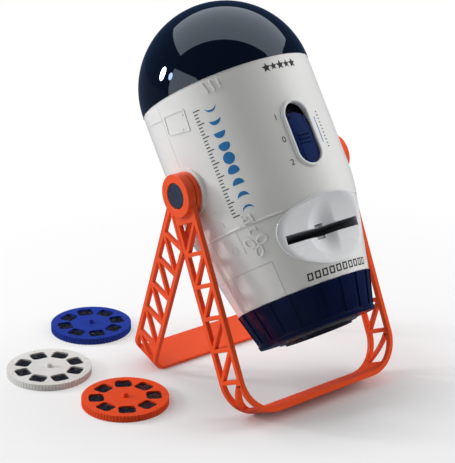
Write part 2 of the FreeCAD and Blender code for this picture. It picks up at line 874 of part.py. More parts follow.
def star_globe():
    """Pin-hole hemisphere: every hole points at the lamp, and golden turns spread them evenly."""
    centre = f"({SEAT_TOP} + globe_wall)"
    inner = f"({GLOBE_RADIUS} - globe_wall)"
    body = new_body("star_globe_blank")
    profile = sketch_on(body, "XZ_Plane")
    draw_loop(profile, [
        (GLOBE_RADIUS, centre, GLOBE_RADIUS, 1),
        ("0", f"{centre} + {GLOBE_RADIUS}"),
        ("0", f"{centre} + {inner}", inner, -1),
        (inner, centre),
        (inner, SEAT_TOP),
        (f"{GLOBE_RADIUS} + globe_flange", SEAT_TOP),
        (f"{GLOBE_RADIUS} + globe_flange", centre),
    ])
    revolve(body, profile)
    golden_turn = 180 * (3 - math.sqrt(5))
    stars = []
    for index in range(STAR_COUNT):
        rise = math.degrees(math.asin((index + 2) / (STAR_COUNT + 3)))
        aim = Rotation(Vector(0, 0, 1), index * golden_turn)
        aim = aim.multiply(Rotation(Vector(0, 1, 0), 90 - rise))
        star = cylinder("star_radius", f"{inner} - globe_wall", f"{GLOBE_RADIUS} + globe_wall")
        settle(star, Placement(Vector(0, 0, size(centre)), aim))
        stars.append(star)
    node(cut(body, group(*stars)), "star_globe", PROJECTOR)


def lamp(label, face, radius, height, way):
    """A round-nosed lamp that stands on a face, pointing up (way 1) or down (way -1)."""
    body = new_body(label)
    profile = sketch_on(body, "XZ_Plane")
    shoulder = f"({face} + {way} * ({height} - {radius}))"
    tip = f"({face} + {way} * {height})"
    draw_loop(profile, [
        ("0", face),
        (radius, face),
        (radius, shoulder, radius, way),
        ("0", tip),
    ])
    revolve(body, profile)
    node(body, label, PROJECTOR)


def star_lamp():
    """Small board on the seat's post, with its lamp near the globe's centre."""
    board_low = f"({SEAT_TOP} + post_height)"
    board_high = f"({board_low} + board_wall)"
    board = cylinder("lamp_board_radius", board_low, board_high)
    settle(node(board, "star_lamp_board"), PROJECTOR)
    lamp("star_lamp", board_high, "lamp_radius", "lamp_height", 1)


# ---- Light engine and disc slot --------------------------------------------------------------


def light_tube():
    low = f"(-{SLOT_DEPTH} + slot_height / 2 + gate_wall)"
    top = f"({low} + tube_length)"
    outside = cylinder("tube_radius", low, top)
    inside = cylinder("tube_radius - tube_wall", f"{low} - overshoot", f"{top} + overshoot")
    node(cut(outside, inside), "light_tube", PROJECTOR)
    board = fuse(cylinder("tube_radius", top, f"{top} + board_wall"),
                 cylinder("beam_lamp_base", f"{top} + board_wall", f"{top} + 2 * board_wall"))
    node(board, "beam_lamp_board", PROJECTOR)
    lamp("beam_lamp", top, "beam_lamp_radius", "beam_lamp_height", -1)


def lens(label, radius, curve, edge, middle):
    """A lens bulging both ways, with a flat edge."""
    rise = f"({curve} - sqrt({curve} ^ 2 - ({radius}) ^ 2))"
    body = new_body(label)
    profile = sketch_on(body, "XZ_Plane")
    draw_loop(profile, [
        ("0", f"{middle} - {edge} / 2 - {rise}", curve, 1),
        (radius, f"{middle} - {edge} / 2"),
        (radius, f"{middle} + {edge} / 2", curve, 1),
        ("0", f"{middle} + {edge} / 2 + {rise}"),
    ])
    revolve(body, profile)
    node(body, label, PROJECTOR)


def draw_tray(sketch, reach):
    """Outline of the disc's tray seen from above: straight to the mouth, round at the back."""
    draw_loop(sketch, [
        (f"-({reach})", "-body_radius"),
        (reach, "-body_radius"),
        (reach, "-gate_offset", reach, 1),
        ("0", f"-gate_offset + {reach}", reach, 1),
        (f"-({reach})", "-gate_offset"),
    ])


def disc_gate():
    """Tray that takes the slide disc and holds one window in the beam."""
    body = new_body("disc_gate_blank")
    inside = "(disc_radius + disc_play)"
    low = f"(-{SLOT_DEPTH} - slot_height / 2 - gate_wall)"
    outline = sketch_on(body, "XY_Plane", low)
    draw_tray(outline, f"{inside} + gate_wall")
    pad(body, outline, "slot_height + 2 * gate_wall")
    cavity = sketch_on(body, "XY_Plane", f"{low} + gate_wall")
    draw_tray(cavity, inside)
    pocket(body, cavity, "slot_height", flip=True)
    beam = sketch_on(body, "XY_Plane", low)
    draw_circle(beam, "0", "0", "gate_aperture")
    pocket(body, beam, flip=True)
    cone = turned([
        ("0", "-tail_depth"),
        (casing_radius("tail_depth", "casing_wall + fit_gap"), "-tail_depth"),
        (casing_radius("0", "casing_wall + fit_gap"), "0"),
        ("0", "0"),
    ])
    plate_back = plate_hollow("plate_wall + fit_gap")
    node(cut(common(body, cone), plate_back), "disc_gate", PROJECTOR)


def shell_layer(inner, outer, low, high):
    """A band that follows the casing's outside between two offsets from it."""
    return turned([
        (casing_radius(f"-{low}", f"-({inner})"), low),
        (casing_radius(f"-{low}", f"-({outer})"), low),
        (casing_radius(f"-{high}", f"-({outer})"), high),
        (casing_radius(f"-{high}", f"-({inner})"), high),
    ])


def plate_hollow(offset):
    """The bar along the slot and the bulge in its middle that dish the plate, grown by an offset."""
    trough = cross_cylinder(f"trough_radius + {offset}", "-body_radius", "body_radius",
                            y=f"-({TROUGH_FLOOR} + trough_radius)",
                            z=f"-({SLOT_DEPTH} + trough_drop)")
    bulge = doc.addObject("Part::Ellipsoid", "bulge")
    bind(bulge, Radius1=f"grip_half_height + {offset}", Radius2=f"grip_half_width + {offset}",
         Radius3=f"grip_bulge + {offset}")
    middle = f"-({TROUGH_FLOOR} - grip_sink + grip_bulge)"
    bulge.Placement = Placement(Vector(0, size(middle), -size(SLOT_DEPTH)), Rotation())
    bulge.setExpression("Placement.Base.y", linked(middle))
    bulge.setExpression("Placement.Base.z", linked(f"-{SLOT_DEPTH}"))
    return fuse(trough, bulge)


def slot_bezel():
    """Egg-shaped plate, dished along its slot and hollowed for a finger in the middle."""
    low = f"(-{PLATE_DEPTH} - plate_bottom - overshoot)"
    high = f"(-{PLATE_DEPTH} + plate_top + overshoot)"
    flange = common(
        prism(draw_egg, "0", low=SKIN_NEAR, high=SKIN_FAR),
        shell_layer("fit_gap / 2", "plate_proud", low, high))
    dish = common(
        common(prism(draw_egg, "plate_lap", low=SKIN_NEAR, high=SKIN_FAR),
               plate_hollow("plate_wall")),
        shell_layer("-body_radius / 2", "plate_proud / 2", low, high))
    slot = block("-slot_length / 2", "slot_length / 2", f"-{SKIN_FAR}", "0",
                 f"-{SLOT_DEPTH} - slot_height / 2", f"-{SLOT_DEPTH} + slot_height / 2")
    notch = block("-notch_width / 2", "notch_width / 2", f"-{SKIN_FAR}", "0",
                  f"-{SLOT_DEPTH} - notch_height / 2", f"-{SLOT_DEPTH} + notch_height / 2")
    open_plate = cut(fuse(flange, dish), plate_hollow("0"))
    node(cut(open_plate, fuse(slot, notch)), "slot_bezel", PROJECTOR)


# ---- Switch ------------------------------------------------------------------------------


def band(inner, outer, low, high):
    """A ring about the projector's axis."""
    bore = cylinder(inner, f"{low} - overshoot", f"{high} + overshoot")
    return cut(cylinder(outer, low, high), bore)


def switch_prism(length, width, middle="switch_middle"):
    return prism(draw_stadium, middle, length, width, low=SKIN_NEAR, high=SKIN_FAR)


def switch_rim():
    low, high = "(-2 * switch_width)", "(3 * switch_width)"
    flange = common(
        switch_prism("switch_length + 2 * switch_rim_width", "switch_width + 2 * switch_rim_width"),
        band("body_radius + fit_gap / 2", "body_radius + switch_rim_proud", low, high))
    spigot = common(
        switch_prism("switch_length + 2 * switch_spigot", "switch_width + 2 * switch_spigot"),
        band(f"{INNER_RADIUS} - spigot_reach", "body_radius + switch_rim_proud / 2", low, high))
    opening = switch_prism("switch_length", "switch_width")
    node(cut(fuse(flange, spigot), opening), "switch_rim", PROJECTOR)


def switch_knob():
    """Sliding knob: a grip in the opening, a hidden flange behind it and a lever to the contact."""
    low, high = "(-2 * switch_width)", "(3 * switch_width)"
    grip = common(
        switch_prism("knob_length", "switch_width - 2 * knob_gap", SWITCH_REST),
        band(f"{KNOB_FLANGE_FACE} - knob_flange_wall / 2", "body_radius - knob_sink", low, high))
    flange = common(
        switch_prism("knob_length + 2 * knob_flange", "switch_width + 2 * knob_flange", SWITCH_REST),
        band(f"{KNOB_FLANGE_FACE} - knob_flange_wall", KNOB_FLANGE_FACE, low, high))
    ribs = []
    for index in range(-1, 2):
        height = f"({SWITCH_REST} + {index} * knob_rib_pitch)"
        bar = block("-knob_rib_length / 2", "knob_rib_length / 2",
                    "-body_radius - knob_rib_proud", "-body_radius + 2 * knob_rib_proud",
                    f"{height} - knob_rib_width / 2", f"{height} + knob_rib_width / 2")
        ribs.append(bar)
    lever = block("-lever_width / 2", "lever_width / 2",
                  f"-{KNOB_FLANGE_FACE} + knob_flange_wall / 2",
                  f"-{CONTACT_FACE} + lever_depth",
                  f"{SWITCH_REST} - lever_width / 2", f"{SWITCH_REST} + lever_width / 2")
    node(fuse(grip, flange, lever, *ribs), "switch_knob", PROJECTOR)


def switch_board():
    """Board behind the opening, with the three-position contact block that the lever moves."""
    low = "(switch_middle - switch_length / 2)"
    high = "(switch_middle + switch_length / 2)"
    board_face = f"({CONTACT_FACE} - contact_depth)"
    board = block("-switch_board_width / 2", "switch_board_width / 2",
                  f"-{board_face}", f"-{board_face} + board_wall", low, high)
    settle(node(board, "switch_board"), PROJECTOR)
    outside = block("-contact_width / 2", "contact_width / 2", f"-{CONTACT_FACE}", f"-{board_face}",
                    f"{SWITCH_REST} + switch_travel / 2 - contact_length / 2",
                    f"{SWITCH_REST} + switch_travel / 2 + contact_length / 2")
    track = block("-lever_width / 2 - fit_gap", "lever_width / 2 + fit_gap",
                  f"-{CONTACT_FACE} - overshoot", f"-{CONTACT_FACE} + lever_depth + fit_gap",
                  f"{SWITCH_REST} - lever_width / 2 - fit_gap",
                  f"{SWITCH_REST} + switch_travel + lever_width / 2 + fit_gap")
    node(cut(outside, track), "switch_contact", PROJECTOR)


# ---- Focus mechanism ---------------------------------------------------------------------


def focus_ring():
    """Tapered grip ring with channels, whose inner collar carries two helical slots."""
    low = RING_LOW
    flange_top = f"({low} + ring_flange_height)"
    slope = f"(({RING_TOP_RADIUS} - ring_bottom_radius) / ring_height)"
    body = new_body("focus_ring")
    profile = sketch_on(body, "XZ_Plane")
    collar = f"({HELIX_BORE} + helix_collar_wall)"
    draw_loop(profile, [
        (RING_TOP_RADIUS, RING_TOP),
        (f"ring_bottom_radius + ring_flange_height * {slope}", flange_top),
        (f"ring_bottom_radius + ring_flange_height * {slope} + ring_flange_proud", flange_top),
        ("ring_bottom_radius + ring_flange_proud", low),
        (HELIX_BORE, low),
        (HELIX_BORE, f"{low} + collar_height"),
        (collar, f"{low} + collar_height"),
        (collar, f"{low} + ring_floor"),
        (f"ring_bottom_radius - ring_wall + ring_floor * {slope}", f"{low} + ring_floor"),
        (f"{RING_TOP_RADIUS} - ring_wall", RING_TOP),
    ])
    revolve(body, profile)
    strip = sketch_on(body, "XZ_Plane")
    end_radius = f"(ring_bottom_radius + (ring_flange_height + channel_end) * {slope})"
    draw_loop(strip, [
        (f"{end_radius} - channel_depth", f"{flange_top} + channel_end"),
        (f"{end_radius} + 2 * overshoot", f"{flange_top} + channel_end"),
        (f"{RING_TOP_RADIUS} + 2 * overshoot", f"{RING_TOP} + overshoot"),
        (f"{RING_TOP_RADIUS} - channel_depth + {slope} * overshoot", f"{RING_TOP} + overshoot"),
    ])
    channel = groove(body, strip, centred=True)
    bind(channel, Angle="channel_angle")
    polar(body, channel, "channel_count")
    helix = body.newObject("PartDesign::SubtractiveHelix", "helix")
    end_margin = "2 * asin((follower_radius + follower_gap) / sleeve_radius) / 1 deg"
    sweep = f"(focus_angle + {end_margin})"
    start = sketch_on(body, "XZ_Plane")
    middle = f"(-{FOLLOWER_DEPTH} - helix_pitch * {sweep} / 720)"
    half = "(follower_radius + follower_gap)"
    draw_box(start, "sleeve_radius - 2 * overshoot", f"{collar} + 2 * overshoot",
             f"{middle} - {half}", f"{middle} + {half}")
    helix.Profile = start
    helix.ReferenceAxis = (start, ["V_Axis"])
    helix.Mode = 0
    bind(helix, Pitch="helix_pitch", Height=f"helix_pitch * {sweep} / 360")
    polar(body, helix, "2")
    turn = Rotation(Vector(0, 0, 1), -size(sweep) / 2)
    node(body, "focus_ring", PROJECTOR.multiply(Placement(Vector(), turn)))


def lens_sleeve():
    """Fixed sleeve under the casing, with two straight slots that stop the barrel turning."""
    flange_top = "(-tail_depth + 2 * tail_wall)"
    low = f"({RING_LOW} - fit_gap)"
    tube = cylinder("sleeve_radius", low, flange_top)
    flange = cylinder("sleeve_flange", "-tail_depth + tail_wall", flange_top)
    bore = cylinder("sleeve_radius - sleeve_wall", f"{low} - overshoot", f"{flange_top} + overshoot")
    reach = f"({FOCUS_TRAVEL} / 2 + follower_radius + follower_gap)"
    slots = block("-sleeve_flange", "sleeve_flange",
                  "-follower_radius - follower_gap", "follower_radius + follower_gap",
                  f"-{FOLLOWER_DEPTH} - {reach}", f"-{FOLLOWER_DEPTH} + {reach}")
    node(cut(fuse(tube, flange), fuse(bore, slots)), "lens_sleeve", PROJECTOR)


def sleeve_nut():
    """Ring on the sleeve's end that keeps the focus ring on."""
    high = f"({RING_LOW} - fit_gap)"
    low = f"({high} - nut_height)"
    outside = cylinder(f"{HELIX_BORE} + nut_lap", low, high)
    bore = cylinder("sleeve_radius - sleeve_wall", f"{low} - overshoot", f"{high} + overshoot")
    node(cut(outside, bore), "sleeve_nut", PROJECTOR)


def lens_barrel():
    """Sliding barrel with its lens, and two followers in the helical slots."""
    low = f"(-{BARREL_END})"
    top = f"(-{FOLLOWER_DEPTH} + barrel_above)"
    outside = cylinder(BARREL_RADIUS, low, top)
    bore = cylinder("barrel_bore", f"{low} - overshoot", f"{top} + overshoot")
    tip = f"({HELIX_BORE} + follower_proud)"
    followers = [
        cross_cylinder("follower_radius", "barrel_bore + overshoot", tip, z=f"-{FOLLOWER_DEPTH}",
                       side=side)
        for side in (1, -1)
    ]
    node(fuse(cut(outside, bore), *followers), "lens_barrel", PROJECTOR)
    edge_curve = "sqrt(lens_curve ^ 2 - barrel_bore ^ 2)"
    seat_curve = "sqrt(lens_curve ^ 2 - (barrel_bore - retainer_wall) ^ 2)"
    seat = f"(-{LENS_DEPTH} - lens_edge / 2 - ({seat_curve} - {edge_curve}) - fit_gap / 4)"
    ring_low = f"({seat} - retainer_height)"
    ring = cut(cylinder("barrel_bore", ring_low, seat),
               cylinder("barrel_bore - retainer_wall", f"{ring_low} - overshoot",
                        f"{seat} + overshoot"))
    node(ring, "lens_retainer", PROJECTOR)
    lens("projection_lens", "barrel_bore", "lens_curve", "lens_edge", f"-{LENS_DEPTH}")


# ---- Power -------------------------------------------------------------------------------


def battery_box():
    outside = block("-box_half_width", "box_half_width", BOX_FRONT, "body_radius",
                    "box_low", "box_high")
    inside = block("-box_half_width + box_wall", "box_half_width - box_wall",
                   f"{BOX_FRONT} + box_wall", "body_radius + overshoot",
                   "box_low + box_wall", "box_high - box_wall")
    fitted = common(cut(outside, inside),
                    cylinder(f"{INNER_RADIUS} - fit_gap", "box_low - overshoot", "door_high"))
    pillar = deep_cylinder("boss_radius", BOX_FRONT, f"{INNER_RADIUS} - fit_gap",
                           z="door_screw_height")
    tab = block("-boss_radius", "boss_radius", BOX_FRONT, f"{BOX_FRONT} + box_wall",
                "box_high - box_wall", "door_screw_height")
    pilot = deep_cylinder("screw_radius + screw_clearance",
                          f"{INNER_RADIUS} - 3 * screw_head", "body_radius", z="door_screw_height")
    node(cut(fuse(fitted, pillar, tab), pilot), "battery_box", PROJECTOR)


def battery_rows():
    """Distances across of the cells, and which way up each one is."""
    middle = (round(size("battery_count")) - 1) / 2
    return [(f"({index - middle} * battery_pitch)", 1 if index % 2 == 0 else -1)
            for index in range(round(size("battery_count")))]


def upright_bar(radius, height, across, low):
    """A round bar in the battery row, standing on a height."""
    item = doc.addObject("Part::Cylinder", "cell_bar")
    bind(item, Radius=radius, Height=height)
    item.Placement = Placement(Vector(size(across), size(BATTERY_BACK), size(low)), Rotation())
    item.setExpression("Placement.Base.x", linked(across))
    item.setExpression("Placement.Base.y", linked(BATTERY_BACK))
    item.setExpression("Placement.Base.z", linked(low))
    return item


def batteries():
    low = "(box_low + box_wall + contact_room)"
    high = f"({low} + battery_length)"
    cells = []
    for across, way in battery_rows():
        can = upright_bar("battery_radius", "battery_length", across, low)
        face = high if way > 0 else f"({low} - nub_height)"
        cells.append(fuse(can, upright_bar("nub_radius", "nub_height", across, face)))
    node(group(*cells), "batteries", PROJECTOR)


def battery_contacts():
    """A plate against each end of every cell."""
    plates = []
    reach = "(battery_radius - contact_inset)"
    for across, _ in battery_rows():
        for low in ("(box_low + box_wall)", "(box_high - box_wall - contact_wall)"):
            plates.append(block(f"{across} - {reach}", f"{across} + {reach}",
                                f"{BATTERY_BACK} - {reach}", f"{BATTERY_BACK} + {reach}",
                                low, f"{low} + contact_wall"))
    node(group(*plates), "battery_contacts", PROJECTOR)


def battery_door():
    """Curved door flush with the back, held by one captive screw."""
    panel = common(
        block("-door_half_width", "door_half_width", "0", SKIN_FAR, "door_low", "door_high"),
        band(INNER_RADIUS, "body_radius", "(door_low - overshoot)", "(door_high + overshoot)"))
    hole = deep_cylinder("screw_radius + screw_clearance", BOX_FRONT, SKIN_FAR,
                         z="door_screw_height")
    recess = deep_cylinder("screw_head + screw_clearance", "body_radius - screw_head_wall / 2",
                           SKIN_FAR, z="door_screw_height")
    node(cut(panel, fuse(hole, recess)), "battery_door", PROJECTOR)
    head = deep_cylinder("screw_head", "body_radius - screw_head_wall / 2",
                         "body_radius + screw_head_wall / 4", z="door_screw_height")
    shank = deep_cylinder("screw_radius", f"{INNER_RADIUS} - 2 * screw_head", "body_radius",
                          z="door_screw_height")
    node(fuse(head, shank), "door_screw", PROJECTOR)


# ---- Tilt pivot and stand -----------------------------------------------------------------


def pivot_pin(label, side):
    """Pin clamped between the casing halves, with a collar that follows the casing's curve."""
    flange = cross_cylinder("pin_flange_radius", f"{PIN_FLANGE_FACE} - pin_flange_wall",
                            PIN_FLANGE_FACE, side=side)
    neck = cross_cylinder("pin_neck_radius", PIN_FLANGE_FACE, "body_radius", side=side)
    collar = cut(
        cross_cylinder("collar_radius", "body_radius - 2 * pin_neck_radius",
                       "body_radius + collar_proud", side=side),
        cylinder("body_radius", "-2 * collar_radius", "2 * collar_radius"))
    shaft = cross_cylinder("pin_radius", PIN_FLANGE_FACE, PIN_END, side=side)
    hole = cross_cylinder("cap_plug_radius", f"{PIN_END} - cap_plug_length - overshoot",
                          f"{PIN_END} + overshoot", side=side)
    node(cut(fuse(flange, neck, collar, shaft), hole), label, PROJECTOR)


def pivot_cap(label, side):
    disc = cross_cylinder("cap_radius", PIN_END, f"{PIN_END} + cap_wall", side=side)
    plug = cross_cylinder("cap_plug_radius", f"{PIN_END} - cap_plug_length", PIN_END, side=side)
    node(fuse(disc, plug), label, PROJECTOR)


def hub_washer(label, side):
    disc = cross_cylinder("washer_radius", WASHER_FACE, FRONT_HUB_FACE, side=side)
    hole = cross_cylinder(HUB_BORE, f"{WASHER_FACE} - overshoot", f"{FRONT_HUB_FACE} + overshoot",
                          side=side)
    node(cut(disc, hole), label, FRONT_STAND)


def stand_frame(label, place, face, wall, hub_wall, leg, half_width, corner, lean, outer):
    """A U-shaped band with latticed legs. outer is -1 where the frame's outer side is its front."""
    body = new_body(label)
    outside = f"({face} + {wall})"
    inside_corner = f"({corner} - {wall})"
    straight = f"({corner} - {leg})"
    band_shape = sketch_on(body, "XZ_Plane")
    draw_loop(band_shape, [
        (f"-{outside}", "0"),
        (f"-{outside}", straight, corner, 1),
        (f"{corner} - {outside}", f"-{leg}"),
        (f"{outside} - {corner}", f"-{leg}", corner, 1),
        (outside, straight),
        (outside, "0"),
        (face, "0"),
        (face, straight, inside_corner, -1),
        (f"{outside} - {corner}", f"{wall} - {leg}"),
        (f"{corner} - {outside}", f"{wall} - {leg}", inside_corner, -1),
        (f"-{face}", straight),
        (f"-{face}", "0"),
    ])
    pad(body, band_shape, f"2 * {half_width}", centred=True)
    hub = sketch_on(body, "YZ_Plane", face)
    draw_circle(hub, "0", "0", "hub_radius")
    mirror_x(body, pad(body, hub, hub_wall))
    for top, bays in (("first_bar", BAY_COUNT), (LAST_BAR, 1)):
        low = f"({top} + bay_length)" if bays > 1 else f"({leg} - {wall} - bar_width / 2)"
        windows = sketch_on(body, "YZ_Plane")
        draw_bay(windows, top, low, half_width, outer)
        opening = pocket(body, windows, f"4 * {outside}", centred=True)
        if bays > 1:
            rows = body.newObject("PartDesign::LinearPattern", "bays")
            rows.Originals = [opening]
            rows.Direction = (windows, ["V_Axis"])
            rows.Reversed = True
            bind(rows, Length=f"bay_length * {bays - 1}")
            rows.Occurrences = bays
            body.Tip = rows
    bore = sketch_on(body, "YZ_Plane")
    draw_circle(bore, "0", "0", HUB_BORE)
    pocket(body, bore, f"4 * {outside}", centred=True)
    if outer < 0:
        recess = sketch_on(body, "YZ_Plane", f"{PIN_END} - cap_gap")
        draw_circle(recess, "0", "0", "cap_radius + cap_gap")
        mirror_x(body, pocket(body, recess, "2 * cap_radius", flip=True))
    trim = sketch_on(body, "YZ_Plane")
    inner = -outer
    draw_loop(trim, foot_corner(leg, half_width, lean, inner))
    pocket(body, trim, f"4 * {outside}", centred=True)
    node(body, label, place)


def draw_bay(sketch, top, low, half_width, outer):
    """The two windows of one bay, either side of a diagonal that runs down from the outer rail."""
    clear = f"({half_width} - rail_width)"
    high = f"(-{top} - bar_width / 2)"
    base = f"(-{low} + bar_width / 2)"
    rise = f"({high} - {base})"
    diagonal = f"sqrt(4 * {clear} ^ 2 + {rise} ^ 2)"
    upright = f"(bar_width / 2 * {diagonal} / (2 * {clear}))"
    along = f"(bar_width / 2 * {diagonal} / {rise})"
    draw_loop(sketch, [
        (f"{-outer} * {clear}", high),
        (f"{-outer} * {clear}", f"{base} + {upright}"),
        (f"{outer} * ({clear} - {along})", high),
    ])
    draw_loop(sketch, [
        (f"{outer} * {clear}", base),
        (f"{outer} * {clear}", f"{high} - {upright}"),
        (f"{-outer} * ({clear} - {along})", base),
    ])


def foot_corner(leg, half_width, lean, inner):
    """Triangle outside the flat that the foot's lower edge rests on."""
    across = f"foot_flat * cos({lean})"
    up = f"foot_flat * sin({lean})"
    return [
        (f"{inner} * ({half_width} - 2 * {across})", f"-{leg} - {up}"),
        (f"{inner} * ({half_width} + 2 * {across})", f"-{leg} - {up}"),
        (f"{inner} * ({half_width} + {across})", f"-{leg} + 2 * {up}"),
    ]


# ---- Slide discs -------------------------------------------------------------------------


def slide_disc(colour):
    """Disc with a knurled rim and a ring of windows, and the film frames in them."""
    body = new_body(f"{colour}_disc")
    outline = sketch_on(body, "XY_Plane")
    draw_circle(outline, "0", "0", "disc_radius")
    pad(body, outline, "disc_wall")
    tooth = sketch_on(body, "XY_Plane")
    half = "(180 / knurl_count)"
    draw_loop(tooth, [
        ("disc_radius - knurl_depth", "0"),
        (f"(disc_radius + 1) * cos({half})", f"-(disc_radius + 1) * sin({half})"),
        (f"(disc_radius + 1) * cos({half})", f"(disc_radius + 1) * sin({half})"),
    ])
    polar(body, pocket(body, tooth, flip=True), "knurl_count")
    window = sketch_on(body, "XY_Plane")
    draw_window(window)
    polar(body, pocket(body, window, flip=True), "window_count")
    stud = sketch_on(body, "XY_Plane", "disc_wall")
    draw_circle(stud, "0", "stud_radius", "stud_hole")
    polar(body, pocket(body, stud, "stud_hole_depth"), "window_count")
    pin = sketch_on(body, "XZ_Plane")
    draw_loop(pin, [
        ("0", "disc_wall / 2"),
        ("disc_pin_radius", "disc_wall / 2"),
        ("disc_pin_radius", "disc_wall"),
        ("disc_pin_tip", "disc_wall + disc_pin_height"),
        ("0", "disc_wall + disc_pin_height"),
    ])
    revolve(body, pin)
    place = Placement(Vector(size(f"{colour}_disc_x"), size(f"{colour}_disc_y"), 0),
                      Rotation(Vector(0, 0, 1), size(f"{colour}_disc_turn")))
    node(body, f"{colour}_disc", place)
    films = []
    for index in range(round(size("window_count"))):
        film = prism(draw_window, low="disc_wall - film_depth - film_wall",
                     high="disc_wall - film_depth")
        turn = Rotation(Vector(0, 0, 1), 360 * index / size("window_count"))
        settle(film, Placement(Vector(), turn.multiply(Rotation(Vector(1, 0, 0), -90))))
        films.append(film)
    node(group(*films), f"{colour}_films", place)


# ---- Build, test and export ----------------------------------------------------------------

front_casing()
rear_casing()
casing_screws()
dome_cover()
dome_seat()
star_globe()
star_lamp()
light_tube()
lens("condenser_lens", "condenser_radius", "condenser_curve", "condenser_edge",
     f"-({SLOT_DEPTH} - condenser_rise)")
disc_gate()
slot_bezel()
switch_rim()
switch_knob()
switch_board()
focus_ring()
lens_sleeve()
sleeve_nut()
lens_barrel()
battery_box()
batteries()
battery_contacts()
battery_door()
for side_name, side in (("left", -1), ("right", 1)):
    pivot_pin(f"pivot_pin_{side_name}", side)
    pivot_cap(f"pivot_cap_{side_name}", side)
    hub_washer(f"hub_washer_{side_name}", side)
stand_frame("front_frame", FRONT_STAND, FRONT_HUB_FACE, "front_wall", "front_hub_wall", "front_leg",
            "front_half_width", "front_corner", "front_lean", -1)
stand_frame("rear_frame", REAR_STAND, REAR_HUB_FACE, "rear_wall", "rear_hub_wall", REAR_LEG,
            "rear_half_width", "rear_corner", "rear_lean", 1)
for colour in ("blue", "white", "orange"):
    slide_disc(colour)
doc.recompute()

for item in doc.Objects:
    if "Invalid" in item.State or "Error" in item.State:
        raise RuntimeError(f"{item.Label} failed: {item.State}")
for item in NODES:
    if item.Shape.isNull() or not item.Shape.isValid():
        raise RuntimeError(f"{item.Label} has no valid shape")

os.makedirs("parts", exist_ok=True)
for item in NODES:
    item.Shape.exportStep(f"parts/{item.Label}.step")
print(f"{len(NODES)} parts written")
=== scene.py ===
"""The looks of the planetarium projector: finishes, moulded detail, printed marks, stage and light.

Sizes are millimetres, except on the stage, where they are metres. The projector's own frame has
its origin at the tilt pivot: s runs along its axis towards the dome, and phi is the angle in
degrees round the axis from the switch side, positive towards +X.
"""

import bmesh
import bpy
import json
import math
from mathutils import Matrix, Vector

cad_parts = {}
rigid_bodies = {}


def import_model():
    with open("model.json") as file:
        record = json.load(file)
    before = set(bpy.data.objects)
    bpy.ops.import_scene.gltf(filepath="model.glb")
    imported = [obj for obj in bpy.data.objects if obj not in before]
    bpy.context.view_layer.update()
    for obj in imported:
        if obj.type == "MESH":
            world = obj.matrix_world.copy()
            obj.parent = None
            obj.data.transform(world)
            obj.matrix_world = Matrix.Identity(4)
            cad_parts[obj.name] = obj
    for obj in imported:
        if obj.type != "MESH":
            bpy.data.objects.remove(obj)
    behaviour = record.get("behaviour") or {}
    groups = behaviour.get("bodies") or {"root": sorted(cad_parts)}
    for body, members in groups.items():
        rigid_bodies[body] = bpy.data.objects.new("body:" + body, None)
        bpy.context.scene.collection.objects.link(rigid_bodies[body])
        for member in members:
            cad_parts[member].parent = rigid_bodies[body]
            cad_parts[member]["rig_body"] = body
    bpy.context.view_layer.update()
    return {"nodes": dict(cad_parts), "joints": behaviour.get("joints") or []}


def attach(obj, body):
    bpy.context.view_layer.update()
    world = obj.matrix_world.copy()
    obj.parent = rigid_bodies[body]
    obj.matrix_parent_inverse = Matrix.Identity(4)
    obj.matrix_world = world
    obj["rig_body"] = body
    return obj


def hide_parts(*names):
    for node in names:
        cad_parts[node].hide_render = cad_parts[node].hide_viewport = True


MM = 0.001

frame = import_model()
joints = {joint["name"]: joint for joint in frame["joints"]}
scene = bpy.context.scene
scene.view_settings.view_transform = "Standard"

# ---- The projector's own frame ---------------------------------------------------------------

PIVOT = Vector(joints["body_tilt"]["pos_m"])
AXIS = Vector(joints["dome_lift"]["axis"])
SIDE = Vector((1, 0, 0))
FRONT = SIDE.cross(AXIS)


def own_frame(node):
    """A node's corners in the projector's frame, in mm, as (x, radius, s)."""
    corners = []
    for vertex in frame["nodes"][node].data.vertices:
        offset = (vertex.co - PIVOT) / MM
        s = offset.dot(AXIS)
        corners.append((offset.dot(SIDE), (offset - AXIS * s).length, s))
    return corners


CASING = own_frame("front_casing")
BODY_RADIUS = max(radius for _, radius, _ in CASING)
RIM_HEIGHT = max(s for _, _, s in CASING)
TAIL_DEPTH = -min(s for _, _, s in CASING)
TAIL_RADIUS = max(radius for _, radius, s in CASING if s < 0.5 - TAIL_DEPTH)
SHOULDER_DEPTH = 26.6
SHOULDER_BLEND = 120.0
TAPER = math.atan((BODY_RADIUS - TAIL_RADIUS) / (TAIL_DEPTH - SHOULDER_DEPTH))
BLEND_REACH = SHOULDER_BLEND * math.tan(TAPER / 2)


def casing_radius(s):
    """Outside radius of the casing: straight, then a blended shoulder, then tapered."""
    depth = -s
    blend_start = SHOULDER_DEPTH - BLEND_REACH
    blend_end = SHOULDER_DEPTH + BLEND_REACH * math.cos(TAPER)
    if depth <= blend_start:
        return BODY_RADIUS
    if depth >= blend_end:
        return BODY_RADIUS - (depth - SHOULDER_DEPTH) * math.tan(TAPER)
    run = depth - blend_start
    return BODY_RADIUS - (SHOULDER_BLEND - math.sqrt(SHOULDER_BLEND ** 2 - run ** 2))


def own_point(x, y, s):
    """A row-frame point in metres from the projector's frame, y towards the switch side."""
    return PIVOT + (SIDE * x + FRONT * y + AXIS * s) * MM


def skin_point(s, phi, lift=0.0):
    """A point on the casing's outside, lifted off it by some mm."""
    radius = casing_radius(s) + lift
    angle = math.radians(phi)
    return own_point(radius * math.sin(angle), radius * math.cos(angle), s)


# ---- Materials -------------------------------------------------------------------------------

NOISE_DETAIL = 4.0
GRAIN_DETAIL = 3.0


